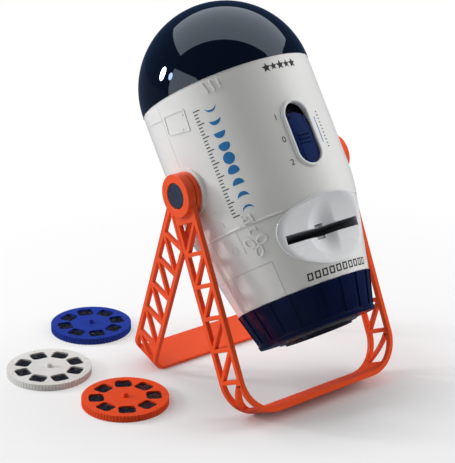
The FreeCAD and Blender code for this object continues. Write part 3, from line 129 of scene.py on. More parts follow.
class Finish:
    """A Principled material with helpers that drive its sockets from noise."""

    def __init__(self, name, colour, roughness, **sockets):
        self.material = bpy.data.materials.new(name)
        self.material.use_nodes = True
        self.nodes = self.material.node_tree.nodes
        self.links = self.material.node_tree.links
        self.shader = self.nodes["Principled BSDF"]
        self.shader.inputs["Base Color"].default_value = (*colour, 1)
        self.shader.inputs["Roughness"].default_value = roughness
        self.colour = colour
        self.roughness = roughness
        self.normal = None
        for socket, value in sockets.items():
            self.shader.inputs[socket.replace("_", " ")].default_value = value
        self.place = self.nodes.new("ShaderNodeTexCoord").outputs["Object"]

    def noise(self, scale, detail=NOISE_DETAIL, stretch=None):
        """Noise over the piece, its scale in waves to the metre."""
        texture = self.nodes.new("ShaderNodeTexNoise")
        texture.inputs["Scale"].default_value = scale
        texture.inputs["Detail"].default_value = detail
        source = self.place
        if stretch is not None:
            mapping = self.nodes.new("ShaderNodeMapping")
            mapping.inputs["Scale"].default_value = stretch
            self.links.new(source, mapping.inputs["Vector"])
            source = mapping.outputs["Vector"]
        self.links.new(source, texture.inputs["Vector"])
        return texture.outputs["Fac"]

    def mapped(self, value, low, high, start=0.3, stop=0.7):
        """A value rescaled from start..stop to low..high."""
        ramp = self.nodes.new("ShaderNodeMapRange")
        ramp.inputs["From Min"].default_value = start
        ramp.inputs["From Max"].default_value = stop
        ramp.inputs["To Min"].default_value = low
        ramp.inputs["To Max"].default_value = high
        self.links.new(value, ramp.inputs["Value"])
        return ramp.outputs["Result"]

    def mixed(self, first, second, factor):
        """A colour, or the colour from a socket, blended towards a second colour by a factor."""
        mix = self.nodes.new("ShaderNodeMix")
        mix.data_type = "RGBA"
        if isinstance(first, tuple):
            mix.inputs["A"].default_value = (*first, 1)
        else:
            self.links.new(first, mix.inputs["A"])
        mix.inputs["B"].default_value = (*second, 1)
        self.links.new(factor, mix.inputs["Factor"])
        return mix.outputs["Result"]

    def mottle(self, scale, other):
        """Blend the base colour towards another along noise."""
        blend = self.mixed(self.colour, other, self.mapped(self.noise(scale), 0.0, 1.0))
        self.links.new(blend, self.shader.inputs["Base Color"])
        return self

    def handled(self, scale, spread):
        """Let the roughness wander about its value, as moulded and handled plastic does."""
        low, high = self.roughness - spread, self.roughness + spread
        rough = self.mapped(self.noise(scale), max(low, 0.01), high)
        self.links.new(rough, self.shader.inputs["Roughness"])
        return self

    def grain(self, scale, depth, stretch=None):
        """Add a layer of surface relief, its depth in mm."""
        bump = self.nodes.new("ShaderNodeBump")
        bump.inputs["Distance"].default_value = depth * MM
        bump.inputs["Strength"].default_value = 1.0
        self.links.new(self.noise(scale, GRAIN_DETAIL, stretch), bump.inputs["Height"])
        if self.normal is not None:
            self.links.new(self.normal, bump.inputs["Normal"])
        self.normal = bump.outputs["Normal"]
        self.links.new(self.normal, self.shader.inputs["Normal"])
        return self


def lighter(colour, factor):
    """A colour with its channels scaled and held at 1. A factor under 1 darkens it."""
    return tuple(min(channel * factor, 1.0) for channel in colour)


def casing_finish():
    white = (0.80, 0.797, 0.785)
    finish = Finish("casing_white_plastic", white, 0.30, Coat_Weight=0.25, Coat_Roughness=0.14)
    return finish.mottle(9, lighter(white, 0.988)).handled(40, 0.03).grain(2600, 0.003)


def plate_finish():
    white = (0.795, 0.81, 0.83)
    finish = Finish("plate_white_plastic", white, 0.26, Coat_Weight=0.25, Coat_Roughness=0.12)
    return finish.mottle(14, lighter(white, 0.975)).handled(50, 0.04).grain(2600, 0.003)


def dome_finish():
    navy = (0.0012, 0.0018, 0.0050)
    finish = Finish("dome_navy_gloss", navy, 0.035,
                    Specular_IOR_Level=0.8, Specular_Tint=(0.70, 0.85, 1.0, 1),
                    Coat_Weight=1.0, Coat_Roughness=0.015, Coat_Tint=(0.80, 0.90, 1.0, 1),
                    Sheen_Weight=0.05, Sheen_Roughness=0.35, Sheen_Tint=(0.03, 0.08, 0.35, 1))
    return finish.mottle(9, lighter(navy, 1.35)).handled(35, 0.012)


def ring_finish():
    navy = (0.0020, 0.0055, 0.032)
    finish = Finish("ring_navy_plastic", navy, 0.22, Specular_IOR_Level=0.45)
    return finish.mottle(30, lighter(navy, 1.6)).handled(90, 0.05).grain(900, 0.008)


def knob_finish():
    navy = (0.002, 0.013, 0.075)
    finish = Finish("knob_navy_plastic", navy, 0.34, Specular_IOR_Level=0.22)
    return finish.mottle(45, lighter(navy, 1.3)).handled(120, 0.06).grain(1400, 0.01)


def stand_finish():
    orange = (0.90, 0.088, 0.014)
    finish = Finish("stand_orange_plastic", orange, 0.40, Specular_IOR_Level=0.32)
    finish.mottle(25, lighter(orange, 0.92)).handled(80, 0.07)
    return finish.grain(700, 0.012).grain(3000, 0.004)


def cap_finish():
    slate = (0.022, 0.032, 0.058)
    finish = Finish("cap_slate_plastic", slate, 0.45, Specular_IOR_Level=0.35)
    return finish.mottle(60, lighter(slate, 1.25)).handled(150, 0.08).grain(1800, 0.012)


def disc_finish(name, colour):
    finish = Finish(f"{name}_disc_plastic", colour, 0.42, Specular_IOR_Level=0.30)
    finish.mottle(40, lighter(colour, 0.90)).handled(110, 0.07)
    return finish.grain(1100, 0.012).grain(3500, 0.004)


def film_finish():
    """Dark slide film: faint clouds and a scatter of pale stars under gloss."""
    night, cloud, star = (0.004, 0.005, 0.010), (0.05, 0.045, 0.06), (0.75, 0.78, 0.85)
    finish = Finish("slide_film", night, 0.24, Specular_IOR_Level=0.20)
    clouds = finish.mapped(finish.noise(260, 6.0), 0.0, 0.8, start=0.48, stop=0.72)
    sky = finish.mixed(night, cloud, clouds)
    cells = finish.nodes.new("ShaderNodeTexVoronoi")
    cells.inputs["Scale"].default_value = 900
    finish.links.new(finish.place, cells.inputs["Vector"])
    stars = finish.mapped(cells.outputs["Distance"], 0.7, 0.0, start=0.06, stop=0.16)
    finish.links.new(finish.mixed(sky, star, stars), finish.shader.inputs["Base Color"])
    return finish.grain(300, 0.01)


def plain_finish(name, colour, roughness, **sockets):
    """Moulded plastic for small and hidden pieces, all with the same mottle and grain."""
    finish = Finish(name, colour, roughness, **sockets)
    return finish.mottle(35, lighter(colour, 1.2)).handled(100, 0.06).grain(900, 0.012)


def metal_finish(name, colour, roughness):
    """Drawn metal, its grain stretched along one direction."""
    finish = Finish(name, colour, roughness, Metallic=1.0)
    finish.mottle(200, lighter(colour, 0.8)).handled(500, 0.08)
    return finish.grain(1200, 0.006, stretch=(1, 1, 12))


def board_finish():
    """Green circuit board with lighter tracks."""
    green = (0.012, 0.090, 0.035)
    finish = Finish("board_green", green, 0.30, Coat_Weight=0.4, Coat_Roughness=0.15)
    tracks = finish.nodes.new("ShaderNodeTexBrick")
    tracks.inputs["Scale"].default_value = 160
    tracks.inputs["Color1"].default_value = (*green, 1)
    tracks.inputs["Color2"].default_value = (*lighter(green, 1.25), 1)
    tracks.inputs["Mortar"].default_value = (*lighter(green, 1.9), 1)
    tracks.inputs["Mortar Size"].default_value = 0.03
    finish.links.new(finish.place, tracks.inputs["Vector"])
    finish.links.new(tracks.outputs["Color"], finish.shader.inputs["Base Color"])
    return finish.grain(1500, 0.01)


def clear_finish(name, colour, roughness):
    """Clear moulded plastic with a faint ripple."""
    finish = Finish(name, colour, roughness, Transmission_Weight=1.0, IOR=1.49)
    return finish.handled(60, 0.01).grain(30, 0.004)


def ink_finish(name, colour):
    """Printing ink with a slightly uneven lay."""
    finish = Finish(name, colour, 0.45)
    return finish.mottle(500, lighter(colour, 1.15)).handled(700, 0.08).grain(2500, 0.004)


CASING_WHITE = casing_finish()
# Painted highlight: the seam beads' plastic is coloured whiter than the casing's white to stand in
# for the light their edge catches.
SEAM_PAINTED_HIGHLIGHT = plain_finish("seam_painted_highlight_plastic", (0.98, 0.98, 0.97), 0.22, Coat_Weight=0.4)
INNER_BLACK = plain_finish("inner_black_plastic", (0.020, 0.020, 0.023), 0.5)
NUT_GREY = plain_finish("nut_grey_plastic", (0.12, 0.125, 0.14), 0.30, Coat_Weight=0.2)
BARREL_GREY = plain_finish("barrel_dark_plastic", (0.012, 0.013, 0.020), 0.28, Coat_Weight=0.3)
PLATE_WHITE = plate_finish()
GATE_GREY = plain_finish("gate_grey_plastic", (0.42, 0.43, 0.46), 0.45, Coat_Weight=0.1)
STEEL = metal_finish("screw_steel", (0.33, 0.33, 0.35), 0.35)
NICKEL = metal_finish("contact_nickel", (0.60, 0.58, 0.54), 0.30)
CLEAR_LENS = clear_finish("lens_clear", (0.93, 0.97, 0.98), 0.02)
CLEAR_LAMP = clear_finish("lamp_clear", (0.97, 0.96, 0.88), 0.05)
SLATE_CAP = cap_finish()
STAND_ORANGE = stand_finish()
DISC_COLOURS = {
    "blue": (0.010, 0.034, 0.30),
    "white": (0.76, 0.76, 0.74),
    "orange": (0.90, 0.082, 0.010),
}
DISC_FINISHES = {name: disc_finish(name, colour) for name, colour in DISC_COLOURS.items()}
FILM = film_finish()
BLUE_INK = ink_finish("blue_ink", (0.010, 0.165, 0.42))
DARK_INK = ink_finish("dark_ink", (0.030, 0.030, 0.033))

NODE_FINISHES = {
    CASING_WHITE: ["front_casing", "rear_casing", "battery_door",
                   "pivot_pin_left", "pivot_pin_right"],
    PLATE_WHITE: ["slot_bezel", "switch_rim"],
    dome_finish(): ["dome_cover"],
    ring_finish(): ["focus_ring"],
    knob_finish(): ["switch_knob"],
    STAND_ORANGE: ["front_frame", "rear_frame"],
    SLATE_CAP: ["pivot_cap_left", "pivot_cap_right"],
    NUT_GREY: ["sleeve_nut"],
    GATE_GREY: ["disc_gate"],
    BARREL_GREY: ["lens_barrel", "lens_retainer", "lens_sleeve"],
    INNER_BLACK: ["dome_seat", "star_globe", "light_tube", "switch_contact", "switch_board",
                  "battery_box", "hub_washer_left", "hub_washer_right"],
    board_finish(): ["star_lamp_board", "beam_lamp_board"],
    CLEAR_LENS: ["condenser_lens", "projection_lens"],
    CLEAR_LAMP: ["star_lamp", "beam_lamp"],
    STEEL: ["casing_screws", "door_screw"],
    NICKEL: ["battery_contacts"],
    plain_finish("cell_wrap", (0.06, 0.10, 0.16), 0.30, Coat_Weight=0.3): ["batteries"],
    FILM: ["blue_films", "white_films", "orange_films"],
    DISC_FINISHES["blue"]: ["blue_disc"],
    DISC_FINISHES["white"]: ["white_disc"],
    DISC_FINISHES["orange"]: ["orange_disc"],
}


def dress_nodes():
    """Give every CAD node its finish."""
    for finish, names in NODE_FINISHES.items():
        for name in names:
            mesh = frame["nodes"][name].data
            mesh.materials.clear()
            mesh.materials.append(finish.material)


# ---- Moulded edges ---------------------------------------------------------------------------

SHARP_ANGLE = math.radians(32)
FLAT_ANGLE = math.radians(0.3)
WELD = 0.002 * MM
ROUND_SEGMENTS = 2

# How far each node's sharp edges are rounded.
SOFTENED = {
    "front_frame": 0.5,
    "rear_frame": 0.5,
    "switch_knob": 0.4,
    "focus_ring": 0.25,
    "pivot_cap_left": 0.5,
    "pivot_cap_right": 0.5,
}


def soften(node, width):
    """A copy of a node whose sharp edges are rounded, as moulded plastic's are."""
    source = frame["nodes"][node]
    mesh = bpy.data.meshes.new(f"{node}_moulded")
    work = bmesh.new()
    work.from_mesh(source.data)
    bmesh.ops.remove_doubles(work, verts=work.verts, dist=WELD)
    bmesh.ops.dissolve_limit(work, angle_limit=FLAT_ANGLE, verts=work.verts, edges=work.edges)
    work.to_mesh(mesh)
    work.free()
    for attribute in ("custom_normal", "sharp_edge"):
        if attribute in mesh.attributes:
            mesh.attributes.remove(mesh.attributes[attribute])
    mesh.shade_smooth()
    mesh.set_sharp_from_angle(angle=SHARP_ANGLE)
    for material in source.data.materials:
        mesh.materials.append(material)
    piece = bpy.data.objects.new(f"{node}_moulded", mesh)
    scene.collection.objects.link(piece)
    bevel = piece.modifiers.new("moulded_edges", "BEVEL")
    bevel.width = width * MM
    bevel.segments = ROUND_SEGMENTS
    bevel.limit_method = "ANGLE"
    bevel.angle_limit = SHARP_ANGLE
    bevel.harden_normals = True
    bevel.use_clamp_overlap = False
    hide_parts(node)
    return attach(piece, source["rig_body"])


# ---- Marks and raised detail that follow the casing -----------------------------------------

MAX_STEP = 1.5
SPLIT_ROUNDS = 6
OUTLINE_WELD = 0.01
DOWNWARD = -90


def wrapped(name, outlines, middle, turn, lift, depth, finish):
    """Flat closed outlines, in mm, wrapped onto the casing as thin solid pieces.

    middle is the casing spot (s, phi) under the outlines' own middle. turn is the angle in
    degrees from the casing's +phi direction to the outlines' x axis, positive towards the dome,
    so a row turned DOWNWARD runs towards the lens.
    """
    work = bmesh.new()
    for outline in outlines:
        corners = [work.verts.new((x, y, 0)) for x, y in outline]
        work.faces.new(corners)
    bmesh.ops.remove_doubles(work, verts=work.verts, dist=OUTLINE_WELD)
    bmesh.ops.triangulate(work, faces=work.faces)
    for _ in range(SPLIT_ROUNDS):
        long_edges = [edge for edge in work.edges if edge.calc_length() > MAX_STEP]
        if not long_edges:
            break
        bmesh.ops.subdivide_edges(work, edges=long_edges, cuts=1)
        bmesh.ops.triangulate(work, faces=[face for face in work.faces if len(face.verts) > 3])
    bmesh.ops.recalc_face_normals(work, faces=work.faces)
    for face in work.faces:
        if face.normal.z < 0:
            face.normal_flip()
    extruded = bmesh.ops.extrude_face_region(work, geom=list(work.faces))
    upper = {vertex for vertex in extruded["geom"] if isinstance(vertex, bmesh.types.BMVert)}
    s, phi = middle
    cos_turn, sin_turn = math.cos(math.radians(turn)), math.sin(math.radians(turn))
    for vertex in work.verts:
        across = vertex.co.x * cos_turn - vertex.co.y * sin_turn
        along = vertex.co.x * sin_turn + vertex.co.y * cos_turn
        height = s + along
        angle = phi + math.degrees(across / casing_radius(height))
        vertex.co = skin_point(height, angle, lift if vertex in upper else -depth)
    bmesh.ops.recalc_face_normals(work, faces=work.faces)
    mesh = bpy.data.meshes.new(name)
    work.to_mesh(mesh)
    work.free()
    mesh.materials.append(finish.material)
    piece = bpy.data.objects.new(name, mesh)
    scene.collection.objects.link(piece)
    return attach(piece, "projector")


def box_outline(x, y, width, height):
    """A rectangle about (x, y)."""
    return [(x - width / 2, y - height / 2), (x + width / 2, y - height / 2),
            (x + width / 2, y + height / 2), (x - width / 2, y + height / 2)]


def round_outline(x, y, radius, count):
    """A circle about (x, y) in count steps."""
    turns = [2 * math.pi * i / count for i in range(count)]
    return [(x + radius * math.cos(angle), y + radius * math.sin(angle)) for angle in turns]


def moon_outline(radius, lit, count=20):
    """The lit part of a moon: lit runs from 0, new, through 0.5, half, to 1, full."""
    turns = [math.pi * i / count for i in range(count + 1)]
    bulge = (1 - 2 * lit) * radius
    outer = [(radius * math.sin(angle), radius * math.cos(angle)) for angle in turns]
    inner = [(bulge * math.sin(angle), radius * math.cos(angle)) for angle in turns[-2:0:-1]]
    return outer + inner


def star_outline(x, radius, points=5, waist=0.45):
    """A star about (x, 0), its inner corners at a share of its radius."""
    corners = []
    for i in range(points * 2):
        reach = radius if i % 2 == 0 else radius * waist
        angle = math.pi * i / points
        corners.append((x + reach * math.sin(angle), reach * math.cos(angle)))
    return corners


INK_LIFT = 0.06
INK_DEPTH = 0.15

# Each mark's middle is a casing spot (s, phi).
MOONS_AT = (9.5, -51.8)
MOON_PHASES = [0.18, 0.34, 0.5, 0.72, 1.0, 0.72, 0.5, 0.34, 0.18]
MOON_PITCH, MOON_RADIUS = 9.7, 4.3
TICKS_AT = (9.5, -61.2)
TICK_COUNT, TICK_PITCH = 33, 2.45
STARS_AT = (60.4, 2.2)
STAR_PITCH, STAR_RADII = 6.0, (3.6, 3.0, 3.6, 3.0, 3.6)
WINDOWS_AT = (-86.3, 0.0)
WINDOW_COUNT, WINDOW_PITCH = 10, 5.7
SWITCH_NUMBERS = {"1": 24.6, "0": 8.2, "2": -8.6}
NUMBER_PHI, NUMBER_SIZE = -15.0, 6.0
DOTS_AT, DOT_COUNT, DOT_PITCH = (9.6, 17.2), 11, 2.6
DOT_WIDTH, DOT_HEIGHT, DOT_SHIFT = 0.9, 1.5, 1.6
SWITCH_LINE_AT, SWITCH_LINE_LENGTH, SWITCH_LINE_WIDTH = (9.6, 14.6), 19.0, 0.8


def printed(name, outlines, middle, turn, finish):
    """Outlines laid on the casing as a film of ink."""
    return wrapped(name, outlines, middle, turn, INK_LIFT, INK_DEPTH, finish)


def centred(count, pitch):
    """Places in a row about 0."""
    return [(index - (count - 1) / 2) * pitch for index in range(count)]


def moon_row():
    """Moon phases in a row down the casing, where the large print is."""
    moons = []
    for x, lit in zip(centred(len(MOON_PHASES), MOON_PITCH), MOON_PHASES):
        flip = -1 if x > 0 else 1
        moons.append([(x + flip * mx, my) for mx, my in moon_outline(MOON_RADIUS, lit)][::flip])
    printed("moon_phases", moons, MOONS_AT, DOWNWARD, BLUE_INK)


def tick_row():
    """A plain scale beside the moons, where the small print is."""
    tall, short, width = 5.4, 3.0, 0.75
    ticks = []
    for index, x in enumerate(centred(TICK_COUNT, TICK_PITCH)):
        length = tall if index % 4 == 0 else short
        ticks.append(box_outline(x, (length - tall) / 2, width, length))
    printed("tick_scale", ticks, TICKS_AT, DOWNWARD, DARK_INK)


def star_row():
    """A few stars under the dome."""
    places = centred(len(STAR_RADII), STAR_PITCH)
    stars = [star_outline(x, radius) for x, radius in zip(places, STAR_RADII)]
    printed("star_marks", stars, STARS_AT, 0, DARK_INK)


def window_row():
    """Small empty frames between the slot plate and the focus ring."""
    width, height, line = 4.2, 5.2, 1.0
    up, across = (height - line) / 2, (width - line) / 2
    windows = []
    for x in centred(WINDOW_COUNT, WINDOW_PITCH):
        windows += [box_outline(x, up, width, line), box_outline(x, -up, width, line),
                    box_outline(x - across, 0, line, height - 2 * line),
                    box_outline(x + across, 0, line, height - 2 * line)]
    printed("window_marks", windows, WINDOWS_AT, 0, DARK_INK)


def number_outlines(text):
    """The faces of a plain number, as outlines about its middle."""
    curve = bpy.data.curves.new(f"number_{text}", "FONT")
    curve.body = text
    curve.size = NUMBER_SIZE
    curve.align_x = "CENTER"
    curve.align_y = "CENTER"
    shape = bpy.data.objects.new(f"number_{text}", curve)
    scene.collection.objects.link(shape)
    shown = shape.evaluated_get(bpy.context.evaluated_depsgraph_get())
    mesh = bpy.data.meshes.new_from_object(shown)
    outlines = [[tuple(mesh.vertices[v].co[:2]) for v in face.vertices] for face in mesh.polygons]
    bpy.data.objects.remove(shape)
    bpy.data.meshes.remove(mesh)
    return outlines


def switch_marks():
    """Plain numbers for the switch's three places, and a scale on its other side."""
    for text, s in SWITCH_NUMBERS.items():
        printed(f"switch_number_{text}", number_outlines(text), (s, NUMBER_PHI), 0, DARK_INK)
    dots = [box_outline(x, DOT_SHIFT, DOT_WIDTH, DOT_HEIGHT) for x in centred(DOT_COUNT, DOT_PITCH)]
    printed("switch_scale", dots, DOTS_AT, DOWNWARD, DARK_INK)
    line = box_outline(0, 0, SWITCH_LINE_LENGTH, SWITCH_LINE_WIDTH)
    printed("switch_line", [line], SWITCH_LINE_AT, DOWNWARD, BLUE_INK)


# ---- Moulded forms on the casing ---------------------------------------------------------------

FORM_LIFT = 0.4
FORM_DEPTH = 0.3
FORM_ROUND = 0.25
BAR_WIDTH = 1.3
LINE_WIDTH = 0.9
SEAM_LINE = -37.6


def stroke(start, end, width):
    """A bar's outline between two points."""
    a, b = Vector(start), Vector(end)
    along = (b - a).normalized() * (width / 2)
    side = Vector((-along.y, along.x))
    return [tuple(a - side), tuple(b - side), tuple(b + side), tuple(a + side)]


def ring_outlines(half_width, half_height, turn, width, count=28):
    """Quads round an oval ring, turned by some degrees."""
    cos_turn, sin_turn = math.cos(math.radians(turn)), math.sin(math.radians(turn))
    corners = []
    for i in range(count):
        angle = 2 * math.pi * i / count
        pair = []
        for grow in (-width / 2, width / 2):
            x = (half_width + grow) * math.cos(angle)
            y = (half_height + grow) * math.sin(angle)
            pair.append((x * cos_turn - y * sin_turn, x * sin_turn + y * cos_turn))
        corners.append(pair)
    return [[corners[i][0], corners[i][1], corners[(i + 1) % count][1], corners[(i + 1) % count][0]]
            for i in range(count)]


def raised(name, outlines, middle, lift=FORM_LIFT, finish=CASING_WHITE):
    """Outlines moulded on the casing about a middle spot, their edges rounded."""
    piece = wrapped(name, outlines, middle, 0, lift, FORM_DEPTH, finish)
    bevel = piece.modifiers.new("moulded_edges", "BEVEL")
    bevel.width = FORM_ROUND * MM
    bevel.segments = ROUND_SEGMENTS
    bevel.angle_limit = SHARP_ANGLE
    bevel.limit_method = "ANGLE"
    piece.data.shade_smooth()
    piece.data.set_sharp_from_angle(angle=SHARP_ANGLE)
    return piece


def about(middle, spots):
    """Casing spots (s, phi) as mm beside and above a middle spot."""
    middle_s, middle_phi = middle
    return [(math.radians(phi - middle_phi) * casing_radius(s), s - middle_s) for s, phi in spots]


def raised_bars(name, bars, middle, width, **look):
    """Bars between pairs of casing spots, as one moulded form about a middle spot."""
    raised(name, [stroke(*about(middle, bar), width) for bar in bars], middle, **look)


def rail_bars():
    """Three short bars under the dome."""
    bars = [((65.4, -51.6), (57.0, -49.4)), ((64.8, -46.4), (56.9, -45.0)),
            ((64.2, -41.4), (57.3, -41.0))]
    raised_bars("rail_bars", bars, (61.0, -46.0), BAR_WIDTH, lift=0.6)


def hatch_frame():
    """The outline of a square hatch left of the marks, with its two catches."""
    middle = (47.5, -78.0)
    corners = [(55.9, -86.9), (54.0, -69.4), (38.5, -70.1), (42.9, -88.5)]
    raised_bars("hatch_frame", zip(corners, corners[1:] + corners[:1]), middle, LINE_WIDTH)
    catches = about(middle, [(50.9, -71.6), (41.4, -74.8)])
    raised("hatch_catches", [round_outline(x, y, 0.8, 12) for x, y in catches], middle)


def side_rail():
    """One fine rail left of the hatch."""
    raised_bars("side_rail", [((57.5, -106.8), (55.0, -89.9))], (56.0, -98.0), LINE_WIDTH)


def link_rings():
    """Three oval links and a round one, left of the slot plate."""
    half_height, line = 2.6, 1.3
    links = [((-50.6, -60.7), 3.9, -49), ((-50.5, -51.6), 3.9, 12), ((-57.6, -56.4), 3.8, 66)]
    for index, (middle, half_width, turn) in enumerate(links):
        outlines = ring_outlines(half_width, half_height, turn, line)
        raised(f"link_ring_{index + 1}", outlines, middle, lift=0.6)
    raised("link_ring_4", ring_outlines(2.7, 2.7, 0, 1.0), (-50.9, -73.8), lift=0.3)


def rail_cluster():
    """A small ladder of rails across the seam."""
    bars = [
        ((-31.0, -58.6), (-37.8, -58.0)), ((-31.4, -52.6), (-37.4, -52.0)),
        ((-33.3, -58.8), (-33.3, -54.8)), ((-36.4, -57.6), (-36.0, -52.8)),
        ((-40.6, -57.8), (-44.6, -57.4)), ((-40.6, -53.0), (-44.0, -52.6)),
        ((-41.8, -57.4), (-41.6, -53.0)),
    ]
    raised_bars("rail_cluster", bars, (-37.5, -55.6), BAR_WIDTH, lift=0.7)


def seam_beads():
    """A fine bead along the seam, its plastic painted whiter than the casing as a painted highlight
    along the seam, in short lengths on both sides of the rail cluster.
    """
    reach, pitch, width = 3.0, 5.8, 1.0
    places = [-88.0 + pitch * i for i in range(5)] + [-47.0 + pitch * i for i in range(3)]
    for index, phi in enumerate(places):
        bead = ((SEAM_LINE, phi - reach), (SEAM_LINE, phi + reach))
        raised_bars(f"seam_bead_{index + 1}", [bead], (SEAM_LINE, phi), width,
                    lift=0.5, finish=SEAM_PAINTED_HIGHLIGHT)


def hub_marks():
    """A dot and a dash beside the hub."""
    raised("hub_mark_1", [round_outline(0, 0, 0.9, 14)], (-21.7, -74.5))
    raised("hub_mark_2", [box_outline(0, 0, 1.0, 3.0)], (-31.6, -72.7))


# ---- Slot plate and switch rim -----------------------------------------------------------------

# Rises are distances towards the dome, from the casing's lens end or from the line before.
SLOT_RISE, PLATE_RISE = 34.6, 5.6
SLOT_LINE = SLOT_RISE - TAIL_DEPTH
SLOT_HALF_LENGTH, SLOT_HALF_HEIGHT = 33.0, 3.15
NOTCH_HALF_LENGTH, NOTCH_HALF_HEIGHT = 3.75, 5.3
CUT_NEAR, CUT_FAR = 30, 75

# The outline is an egg about its widest line: a corner arc and an end arc above and below.
PLATE_LINE = SLOT_LINE + PLATE_RISE
PLATE_HALF_WIDTH = 38.8
PLATE_TOP, PLATE_SHOULDER = 18.0, 14.0
PLATE_BOTTOM, PLATE_SIDE = 30.7, 26.0
PLATE_PROUD = 0.8
PLATE_WALL = 1.6

# The face is a round-bottomed trough along the slot, with a hollow for a finger across it.
TROUGH_RADIUS, TROUGH_SINK, TROUGH_DROP = 28.3, 18.6, 3.9
TROUGH_FLOOR = BODY_RADIUS - TROUGH_SINK
TROUGH_LINE = SLOT_LINE - TROUGH_DROP
GRIP_WIDE, GRIP_TALL, GRIP_SINK = 13.5, 20.5, 4.4
GRIP_FALL = 1.7

# The edge rolls over into the casing, and the mesh's rings bunch up towards it.
EDGE_BLEND = 2.6
EDGE_DROP = 0.22
SKIRT_OUT, SKIRT_SINK = 0.12, 0.4
RING_BUNCHING = 1.35


def end_arc(reach, corner):
    """Radius of the arc across an end of the plate."""
    centre = PLATE_HALF_WIDTH - corner
    return (centre ** 2 + reach ** 2 - corner ** 2) / (2 * (reach - corner))


def plate_edge(direction):
    """Distance from the plate's widest line to its outline, in a direction from (1, 0)."""
    dx, dy = abs(math.cos(direction)), math.sin(direction)
    reach, corner = (PLATE_TOP, PLATE_SHOULDER) if dy >= 0 else (PLATE_BOTTOM, PLATE_SIDE)
    dy = abs(dy)
    arc = end_arc(reach, corner)
    side = PLATE_HALF_WIDTH - corner
    along = dx * side
    small = along + math.sqrt(max(along ** 2 - side ** 2 + corner ** 2, 0))
    split = side * arc / (arc - corner)
    if small * dx >= split:
        return small
    drop = arc - reach
    return -dy * drop + math.sqrt((dy * drop) ** 2 - drop ** 2 + arc ** 2)


def blended(first, second, width):
    """The lesser of two depths, rounded where they meet."""
    near = max(width - abs(first - second), 0) / width
    return min(first, second) - near * near * width / 4


def plate_depth(x, s):
    """Depth of the plate's face from the projector's axis."""
    skin = math.sqrt((casing_radius(s) + PLATE_PROUD) ** 2 - x ** 2)
    run = s - TROUGH_LINE
    trough = TROUGH_FLOOR + TROUGH_RADIUS - math.sqrt(max(TROUGH_RADIUS ** 2 - run ** 2, 0))
    inside = max(1 - (x / GRIP_WIDE) ** 2 - ((s - SLOT_LINE) / GRIP_TALL) ** 2, 0)
    return blended(skin, trough - GRIP_SINK * inside ** GRIP_FALL, EDGE_BLEND)


def mesh_object(name, work):
    """An object of its own from a finished bmesh."""
    mesh = bpy.data.meshes.new(name)
    bmesh.ops.recalc_face_normals(work, faces=work.faces)
    work.to_mesh(mesh)
    work.free()
    piece = bpy.data.objects.new(name, mesh)
    scene.collection.objects.link(piece)
    return piece


def plate_cutter(name, half_length, half_height):
    """A block that goes through the plate along the slot's line."""
    spots = [own_point(x, y, s) for s in (SLOT_LINE - half_height, SLOT_LINE + half_height)
             for y in (CUT_NEAR, CUT_FAR) for x in (-half_length, half_length)]
    work = bmesh.new()
    corners = [work.verts.new(spot) for spot in spots]
    for face in ((0, 1, 3, 2), (4, 6, 7, 5), (0, 4, 5, 1),
                 (2, 3, 7, 6), (0, 2, 6, 4), (1, 5, 7, 3)):
        work.faces.new([corners[i] for i in face])
    return mesh_object(name, work)


def applied(piece, name):
    """The piece with its modifiers applied, in its place."""
    shape = piece.evaluated_get(bpy.context.evaluated_depsgraph_get())
    mesh = bpy.data.meshes.new_from_object(shape)
    bpy.data.objects.remove(piece)
    mesh.name = name
    made = bpy.data.objects.new(name, mesh)
    scene.collection.objects.link(made)
    return made


def smoothed(piece, finish, sharp=SHARP_ANGLE):
    """Give a piece one finish and smooth shading with its sharp edges kept."""
    piece.data.materials.clear()
    piece.data.materials.append(finish.material)
    piece.data.shade_smooth()
    piece.data.set_sharp_from_angle(angle=sharp)


def plate_blank():
    """The plate's outer face, rolled over at its edge into the casing."""
    segments, rings = 192, 56
    directions = [2 * math.pi * index / segments for index in range(segments)]
    work = bmesh.new()
    loops = []
    for ring in range(1, rings + 1):
        share = 1 - (1 - ring / rings) ** RING_BUNCHING
        drop = EDGE_DROP if ring == rings else 0
        loop = []
        for direction in directions:
            reach = plate_edge(direction) * share
            x, s = reach * math.cos(direction), PLATE_LINE + reach * math.sin(direction)
            loop.append(work.verts.new(own_point(x, plate_depth(x, s) - drop, s)))
        loops.append(loop)
    skirt = []
    for direction in directions:
        reach = plate_edge(direction) + SKIRT_OUT
        x, s = reach * math.cos(direction), PLATE_LINE + reach * math.sin(direction)
        depth = math.sqrt(casing_radius(s) ** 2 - x ** 2) - SKIRT_SINK
        skirt.append(work.verts.new(own_point(x, depth, s)))
    loops.append(skirt)
    centre = work.verts.new(own_point(0, plate_depth(0, PLATE_LINE), PLATE_LINE))
    for index in range(segments):
        after = (index + 1) % segments
        work.faces.new((centre, loops[0][index], loops[0][after]))
        for inner, outer in zip(loops, loops[1:]):
            work.faces.new((inner[index], outer[index], outer[after], inner[after]))
    return mesh_object("slot_plate_blank", work)


def slot_plate():
    """The dished plate with a soft finger hollow, its slot and notches cut through its wall."""
    plate = plate_blank()
    faces_out = plate.data.polygons[0].normal.dot(FRONT) > 0
    wall = plate.modifiers.new("wall", "SOLIDIFY")
    wall.thickness = PLATE_WALL * MM
    wall.offset = -1 if faces_out else 1
    cutters = [plate_cutter("slot_cutter", SLOT_HALF_LENGTH, SLOT_HALF_HEIGHT),
               plate_cutter("notch_cutter", NOTCH_HALF_LENGTH, NOTCH_HALF_HEIGHT)]
    for cutter in cutters:
        opening = plate.modifiers.new("opening", "BOOLEAN")
        opening.object = cutter
        opening.operation = "DIFFERENCE"
        opening.solver = "EXACT"
    made = applied(plate, "slot_plate")
    for cutter in cutters:
        bpy.data.objects.remove(cutter)
    smoothed(made, PLATE_WHITE)
    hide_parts("slot_bezel")
    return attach(made, "projector")


